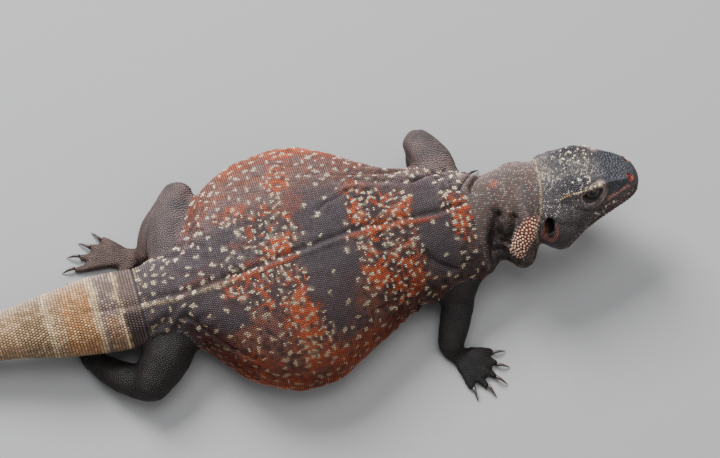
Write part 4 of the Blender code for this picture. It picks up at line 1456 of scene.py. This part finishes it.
def plainSkin(name, code, dryness, depth=0.06, specular=0.5):
    return skinMaterial(name, 1800.0, dryness, depth, specular, code, 1.0)


scaleHorn = skinMaterial("scale_horn", 1500.0, 0.46, 0.08)
tailHorn = skinMaterial("tail_scale_horn", 1200.0, 0.44, 0.10)
headHorn = skinMaterial("head_plate_horn", 1400.0, 0.40, 0.06)
plateHorn = skinMaterial("snout_plate_horn", 1400.0, 0.34, 0.05)
softSkin = skinMaterial("soft_skin", 2200.0, 0.62, 0.10, 0.3)

print("stage: markings on the skin")
points = vertsOf(skinMesh)
skinColours = markingsAndShading(points, eachVertex(skinMesh, "normal"), skinLabels, patches(points, 0.9, 91))
seams = {"snout": 1.1, "trunk": 0.22, "rest": 0.34}  # how light the skin is painted between the scales: much darker on the trunk and elsewhere, as painted shade in the gaps, and a little lighter on the snout for its pale seams
onSnout = onHead & (toHead(points)[:, 0] > 25)
seam = np.where(onSnout, seams["snout"], np.where(onTrunk, seams["trunk"], seams["rest"]))
setMarkings(skinMesh, np.clip(skinColours * seam[:, None], 0, 1))
skin = newPiece("skin", skinMesh, softSkin, "torso_skin", *fleshNodes)
skin.modifiers.new("thinning", "DECIMATE").ratio = fleshBody["kept"]


# the scales themselves: one small dome or plate, set on each root and cut to fit its neighbours

scaleShape = {
    "rootDepth": 0.22,
    "farthest": 0.92,  # longest reach, as a share of the spacing
    "tilt": 0.45,  # how much higher the hind edge of a leaning scale is
    "patch": 0.0013,  # half size of each scale's patch on the unwrap
}
scaleKinds = {  # sides, fill of the way to the neighbours, shoulder, flatness, lean, and how rim, shoulder and top are painted: darker rims as painted shade between the scales and brighter tops as painted highlights, though for the throat these are shares of its cone colour and for the snout the rims are pale seams
    "body": (6, 0.91, 0.76, 0.68, 0.10, (0.06, 0.84, 1.50)),
    "tail": (8, 0.96, 0.80, 0.66, 0.10, (0.36, 0.90, 1.16)),
    "neck": (6, 0.97, 0.80, 0.68, 0.0, (0.36, 0.92, 1.22)),
    "throat": (8, 0.76, 0.60, 0.62, 0.0, (0.0, 0.52, 1.0)),
    "head": (7, 0.96, 0.80, 0.72, 0.0, (0.42, 0.94, 1.18)),
    "snout": (8, 0.97, 0.88, 0.92, 0.0, (1.7, 0.95, 1.0)),
    "limb": (6, 0.98, 0.86, 0.74, 0.03, (0.62, 0.95, 1.08)),
}


def scaleTemplate(sides):
    # for each corner, whether it is on the rim, the shoulder or the top and which way it lies, and the faces
    bm = bmesh.new()
    bmesh.ops.create_circle(bm, segments=sides, radius=1.0)
    raised = bmesh.ops.extrude_edge_only(bm, edges=bm.edges[:])["geom"]
    for vert in (v for v in raised if isinstance(v, bmesh.types.BMVert)):
        vert.co.z = 1.0
    cap = bmesh.ops.contextual_create(bm, geom=[e for e in raised if isinstance(e, bmesh.types.BMEdge)])["faces"]
    bmesh.ops.poke(bm, faces=cap)
    bmesh.ops.recalc_face_normals(bm, faces=bm.faces)
    bmesh.ops.triangulate(bm, faces=bm.faces)
    bm.verts.ensure_lookup_table()
    bm.verts.index_update()
    places = np.array([vert.co for vert in bm.verts], float)
    corners = np.array([[v.index for v in f.verts] for f in bm.faces])
    bm.free()
    kinds = np.where(np.hypot(places[:, 0], places[:, 1]) < 0.1, 2, np.where(places[:, 2] > 0.5, 1, 0))
    ways = np.round(np.arctan2(places[:, 1], places[:, 0]) / (2 * math.pi) * sides).astype(int) % sides
    first = places[corners[0]]
    if np.cross(first[1] - first[0], first[2] - first[0]) @ (first.mean(axis=0) - (0, 0, 0.5)) < 0:
        corners = corners[:, ::-1]
    return kinds, ways, corners


def tangents(normals, lay):
    lay = lay - normals * (lay * normals).sum(axis=1)[:, None]
    size = np.linalg.norm(lay, axis=1)[:, None]
    lay = np.where(size > 0.05, lay / np.maximum(size, 0.05), np.cross(normals, (0.0, 1.0, 0.0)))
    lay /= np.linalg.norm(lay, axis=1)[:, None]
    return np.cross(normals, lay), lay


scaleNear = neighboursOf(scales["root"], 10)
scaleAcross, scaleLay = tangents(scales["normal"], scales["lay"])


def cellReach(chosen, sides):
    # how far each scale reaches each way before it meets its neighbours' borders
    away = scales["root"][scaleNear[chosen]] - scales["root"][chosen][:, None, :]
    flat = np.stack([
        (away * scaleAcross[chosen][:, None, :]).sum(axis=2),
        (away * scaleLay[chosen][:, None, :]).sum(axis=2),
    ], axis=2)
    dot = flat @ turnsOf(sides).T
    half = (flat**2).sum(axis=2)[:, :, None] / 2
    reach = np.where(dot > 1e-6, half / np.maximum(dot, 1e-6), 1e3).min(axis=1)
    return np.minimum(reach, scales["reach"][chosen][:, None] * scaleShape["farthest"])


def throatTones(roots, roll, shades):
    # pale cones on rusty skin, duller towards the edge of the patch
    core = ease(tubercles["width"], tubercles["width"] * 0.55, lineDistance(roots, tubercles["line"]))
    pearl = mix(paint["steel"] * 1.7, paint["cream"] * 0.9, (0.25 + 0.75 * core) * (0.30 + 0.70 * roll))
    cones = mix(paint["taupe"] * 0.8, pearl, 0.10 + 0.85 * core)
    ground = mix(paint["umber"] * 0.8, paint["rust"] * 0.9, core)
    return mix(ground[:, None, :], cones[:, None, :], np.broadcast_to(shades, (len(roots), len(shades))))


def meshOfTriangles(name, places, faces):
    mesh = bpy.data.meshes.new(name)
    mesh.vertices.add(len(places))
    mesh.vertices.foreach_set("co", (places * mm).reshape(-1))
    mesh.loops.add(faces.size)
    mesh.loops.foreach_set("vertex_index", faces.reshape(-1))
    mesh.polygons.add(len(faces))
    mesh.polygons.foreach_set("loop_start", np.arange(len(faces)) * 3)
    mesh.update(calc_edges=True)
    mesh.shade_smooth()
    return mesh


def buildScales(name, chosen, kind, material, slot):
    sides, fill, shoulder, flatness, lean, shades = scaleKinds[kind]
    kinds, ways, corners = scaleTemplate(sides)
    reach = cellReach(chosen, sides) * fill
    angles = 2 * math.pi * ways / sides
    share, tall = np.array((1.0, shoulder, 0.0))[kinds], np.array((0.0, flatness, 1.0))[kinds]
    roots, normal, roll = scales["root"][chosen], scales["normal"][chosen], scaleRoll[chosen]
    endways = reach[:, ways] * share * np.sin(angles) + (kinds > 0) * lean * reach.mean(axis=1)[:, None]
    tilt = 1 + scaleShape["tilt"] * (lean > 0) * np.sin(angles) * (kinds == 1)
    rise = np.where(kinds == 0, -scaleShape["rootDepth"], tall * tilt * scales["height"][chosen][:, None])
    places = roots[:, None, :] + sum(way[chosen][:, None, :] * size[..., None] for way, size in (
        (scaleAcross, reach[:, ways] * share * np.cos(angles)), (scaleLay, endways), (scales["normal"], rise)))
    places[..., 2] = np.maximum(places[..., 2], 0.02)
    faces = (corners[None] + (np.arange(len(chosen)) * len(kinds))[:, None, None]).reshape(-1, 3)
    mesh = meshOfTriangles(name, places.reshape(-1, 3), faces)
    patch = scaleShape["patch"] * np.stack([np.cos(angles), np.sin(angles)], axis=1) * share[:, None]
    base = np.stack([scales["u"][chosen], scales["v"][chosen]], axis=1)
    flat = (base[:, None, :] + patch[None]).reshape(-1, 2)
    mesh.uv_layers.new(name="OFBake").data.foreach_set("uv", flat[faces.reshape(-1)].reshape(-1))
    shades = np.array(shades)[kinds]
    if kind == "throat":
        colours = throatTones(roots, roll, shades)
    else:
        colours = markingsAndShading(roots, normal, scaleLabels[chosen], roll)
        # each scale is painted darker at its rim as shade and lighter at its top as a highlight, less so where the
        # scale is pale
        pale = ease(0.32, 0.60, colours.mean(axis=1))[:, None] * 0.7
        colours = colours[:, None, :] * blend(shades[None], 1.0, pale)[..., None]
    setMarkings(mesh, np.clip(colours, 0, 1).reshape(-1, 3))
    newPiece(name, mesh, material, slot)
    print(name, len(chosen), "scales", len(faces), "triangles")


print("stage: building the scales")
scaleRoll = np.random.default_rng(77).random(len(scales["root"]))
scaleLabels = labelsAt(scales["root"])
groups = scales["group"]


def halfOf(group, half):
    # a group that is too big for one mesh, halved along the body
    found = np.nonzero(groups == group)[0]
    order = found[np.argsort(scales["root"][found, 0], kind="stable")]
    return np.sort(np.array_split(order, 2)[half - 1])


for group, half in (
    ("back", 1), ("tail", 1), ("back", 2), ("tail", 2),
    ("flank_left", 1), ("flank_left", 2), ("flank_right", 1), ("flank_right", 2),
):
    kind, material, slot = ("tail", tailHorn, "tail_skin") if group == "tail" else ("body", scaleHorn, "torso_skin")
    buildScales(f"scales_{group}_{half}", halfOf(group, half), kind, material, slot)
for group, kind, material in (
    ("neck", "neck", scaleHorn), ("throat", "throat", scaleHorn), ("head", "head", headHorn),
    ("snout", "snout", plateHorn), ("legs", "limb", scaleHorn), ("feet", "limb", scaleHorn),
):
    buildScales("scales_" + group, np.nonzero(groups == group)[0], kind, material, "dark_skin")


# the eyes: a ball whose front carries iris and pupil, under a wet surface

eyeLook = {
    "pupil": 19.0,  # angles from the middle of the gaze, in degrees
    "iris": 40.0,
    "irisInner": tint("44372a"),
    "irisOuter": tint("1c1611"),
    "ball": tint("1e1713"),
    "cornea": 0.22,
    "bulge": 0.30,  # how far the ball stands out past its solid
}


def eyeMaterial():
    made, tree, shader = newMaterial("eye_surface", {
        "Roughness": 0.25, "Specular IOR Level": 0.15, "Coat Weight": 0.30, "Coat Roughness": 0.03,
    })
    colour = addNode(tree, "ShaderNodeAttribute", attribute_name="markingsAndShading")
    texture = addNode(tree, "ShaderNodeTexNoise", {"Scale": 1800.0})
    place = addNode(tree, "ShaderNodeTexCoord")
    vary = addNode(tree, "ShaderNodeMapRange", {"To Min": 0.6, "To Max": 1.4})
    shade = addNode(tree, "ShaderNodeVectorMath", operation="SCALE")
    wire(
        tree, (place, "Object", texture, "Vector"), (texture, "Fac", vary, "Value"), (colour, "Color", shade, 0),
        (vary, "Result", shade, "Scale"), (shade, "Vector", shader, "Base Color"),
    )
    return made


def buildEye(side, word, material):
    bm = bmesh.new()
    bmesh.ops.create_uvsphere(bm, u_segments=40, v_segments=48, radius=1.0)
    turn = Vector((0, 0, 1)).rotation_difference(Vector(headTurn @ np.array(eyeAxis[side]))).to_matrix()
    angles = np.array([math.degrees(math.acos(max(-1.0, min(1.0, vert.co.z)))) for vert in bm.verts])
    radii = head["eyeRadius"] + eyeLook["bulge"] + eyeLook["cornea"] * ease(38.0, 0.0, angles)
    for vert, radius in zip(bm.verts, radii):
        vert.co = turn @ (vert.co * float(radius))
    bmesh.ops.translate(bm, verts=bm.verts, vec=placeOnHead(sided("eye", side)))
    mesh = smoothMesh(bm, "eye_" + word)
    iris = mix(eyeLook["irisInner"], eyeLook["irisOuter"], ease(eyeLook["pupil"], eyeLook["iris"], angles))
    setMarkings(mesh, layered(
        eyeLook["ball"], (iris, ease(eyeLook["iris"] + 3, eyeLook["iris"] - 1, angles)),
        (np.full(3, 0.004), ease(eyeLook["pupil"] + 2, eyeLook["pupil"] - 1, angles)),
    ))
    newPiece("eye_ball_" + word, mesh, material, "eye_surface", "eye_" + word)


def sweptLoop(name, path, radius, material, slot, sides=8):
    # a closed tube along a loop of places: one ring at each place, bridged to the next
    bm = bmesh.new()
    count = len(path)
    middle = path.mean(axis=0)
    for i in range(count):
        forward = Vector(path[(i + 1) % count] - path[i - 1]).normalized()
        outward = Vector(path[i] - middle)
        side = (outward - forward * outward.dot(forward)).normalized()
        spin = Matrix((side, forward.cross(side), forward)).transposed()
        made = bmesh.ops.create_circle(bm, segments=sides, radius=float(radius[i]))["verts"]
        bmesh.ops.transform(bm, verts=made, matrix=Matrix.Translation(Vector(path[i])) @ spin.to_4x4())
    bmesh.ops.bridge_loops(bm, edges=bm.edges[:], use_cyclic=True)
    bmesh.ops.recalc_face_normals(bm, faces=bm.faces)
    newPiece(name, smoothMesh(bm, name), material, slot)


def buildLidRim(side, word, material):
    # the thick edge of both lids, round the gap
    ways = turnsOf(56)
    flats = np.array(sculptHead["opening"]) * np.sign(ways) * np.abs(ways) ** (1.05, 1.25)
    flats -= (0, sculptHead["openingDrop"])
    path = np.array([overEye(flat, sculptHead["rimLift"], side) for flat in flats])
    radius = 0.20 + 0.02 * np.sin(np.arange(len(path)) * 2.6)
    sweptLoop("lid_edge_" + word, fromHead(path), radius, material, "dark_skin")


def buildNostril(side, word, material):
    # a soft rim round the opening, laid on the plane of the skin about it
    centre = placeOnHead(sided("nostril", side))
    about = [Vector(headTurn @ (a, 0.2 * side, b)) * 1.9 for a, b in turnsOf(12)]
    found = [skinTree.find_nearest(centre + way) for way in about]
    middle = sum((place for place, _, _, _ in found), Vector()) / len(found)
    out = sum((normal for _, normal, _, _ in found), Vector()).normalized()
    along = Vector(headTurn @ (0.9, 0.0, 0.25))
    along = (along - out * along.dot(out)).normalized()
    path = np.array([middle + along * 0.98 * a + out.cross(along) * 0.74 * b - out * 0.06 for a, b in turnsOf(28)])
    sweptLoop("nostril_rim_" + word, path, np.full(len(path), 0.26), material, "dark_skin")


print("stage: eyes, lids and nostrils")
eyeGloss = eyeMaterial()
lidEdge = plainSkin("lid_edge", "1f1916", 0.40)
for side, word, code in ((1, "left", "5d4038"), (-1, "right", "76351f")):
    buildEye(side, word, eyeGloss)
    buildLidRim(side, word, lidEdge)
    buildNostril(side, word, plainSkin("nostril_rim_" + word, code, 0.45))


# the claws: curved and tapered, one for each toe

clawShape = {
    "steps": 9, "sides": 10, "radius": 0.92, "tipRadius": 0.05, "taper": 0.7,
    "narrow": 0.72,  # width as a share of height
    "arch": 1.0,
    "sink": 0.9,  # how far the root lies inside the toe
}


def buildClaw(name, material):
    # a ring drawn out step by step along the toe's own claw, arched, and closed at both ends
    corners = vertsOf(nodes[name].data)
    foot = vertsOf(nodes["_".join(name.split("_")[1:3])].data).mean(axis=0)
    far = np.linalg.norm(corners - foot, axis=1)
    tip = corners[np.argmax(far)]
    root = corners[np.argsort(far)[:10]].mean(axis=0)
    along = Vector(tip - root)
    sunk = clawShape["sink"] / along.length
    forward = along.normalized()
    side = Vector((-along.y, along.x, 0)).normalized()
    spin = Matrix((side * clawShape["narrow"], forward.cross(side), forward)).transposed().to_4x4()
    bm = bmesh.new()
    ring = bmesh.ops.create_circle(bm, cap_ends=True, segments=clawShape["sides"], radius=1.0)["verts"]
    bmesh.ops.transform(bm, verts=ring, matrix=spin)
    top = bm.faces[:][0]
    for step in range(clawShape["steps"]):
        share = step / (clawShape["steps"] - 1)
        radius = clawShape["radius"] * (1 - share) ** clawShape["taper"] + clawShape["tipRadius"]
        place = Vector(root) + along * (share * (1 + sunk) - sunk)
        place.z = max(place.z + clawShape["arch"] * math.sin(math.pi * share**0.8), radius + 0.02)
        if step:
            raised = bmesh.ops.extrude_face_region(bm, geom=[top])["geom"]
            ring = [v for v in raised if isinstance(v, bmesh.types.BMVert)]
            bmesh.ops.delete(bm, geom=[top], context="FACES_ONLY")
            top = next(f for f in raised if isinstance(f, bmesh.types.BMFace))
        centre = sum((v.co for v in ring), Vector()) / len(ring)
        size = max((v.co - centre).length for v in ring)
        for vert in ring:
            vert.co = place + (vert.co - centre) * (radius / size)
    bmesh.ops.recalc_face_normals(bm, faces=bm.faces)
    newPiece(name.replace("claw", "claws"), smoothMesh(bm, name), material, "claw_horn", name)


print("stage: claws")
horn = plainSkin("claw_horn", "3a2d26", 0.22, 0.05, 0.6)
for name in sorted(nodes):
    if name.startswith("claw"):
        buildClaw(name, horn)


# the floor, the light and the camera

studio = {
    "floorSize": 3.0,
    "floorColour": (0.26, 0.257, 0.254, 1),
    "lights": (  # place, size, power and colour
        ("sky", (-0.20, 0.80, 0.85), 0.55, 34.5, (0.97, 0.98, 1.0)),
        ("top", (0.10, 0.10, 1.3), 0.7, 10.2, (0.95, 0.97, 1.0)),
        ("front", (0.55, -0.70, 0.75), 0.8, 4.1, (1.0, 0.96, 0.92)),
    ),
    "airColour": (0.80, 0.84, 0.90, 1),
    "airLight": 0.53,
}
camera = {
    "azimuth": math.radians(-16.0),
    "elevation": math.radians(70.0),
    "distance": 888.0,
    "target": Vector((26.0, 0.0, 38.0)),
    "lens": 120.0,
}


def buildFloor():
    bm = bmesh.new()
    bmesh.ops.create_grid(bm, x_segments=1, y_segments=1, size=studio["floorSize"])
    mesh = meshFrom(bm, "floor")
    mesh.materials.append(newMaterial("pale_floor", {"Base Color": studio["floorColour"], "Roughness": 0.85})[0])
    inScene("floor", mesh)


def softLight(name, place, size, power, colour):
    light = bpy.data.lights.new(name, "AREA")
    light.energy, light.size, light.color = power, size, colour
    lamp = inScene(name, light)
    lamp.location = place
    lamp.rotation_euler = (-Vector(place)).to_track_quat("-Z", "Y").to_euler()


def buildWorld():
    world = bpy.data.worlds.new("studio")
    bpy.context.scene.world = world
    world.use_nodes = True
    air = world.node_tree.nodes["Background"].inputs
    air["Color"].default_value = studio["airColour"]
    air["Strength"].default_value = studio["airLight"]


def buildCamera():
    data = bpy.data.cameras.new("camera")
    data.lens, data.sensor_width, data.clip_start = camera["lens"], 36.0, 0.01
    made = inScene("camera", data)
    a, e = camera["azimuth"], camera["elevation"]
    away = Vector((math.sin(a) * math.cos(e), -math.cos(a) * math.cos(e), math.sin(e)))
    made.location = (camera["target"] + away * camera["distance"]) * mm
    made.rotation_euler = Euler((math.pi / 2 - e, 0, a))
    bpy.context.scene.camera = made


print("stage: floor, light and camera")
buildFloor()
for row in studio["lights"]:
    softLight(*row)
buildWorld()
buildCamera()
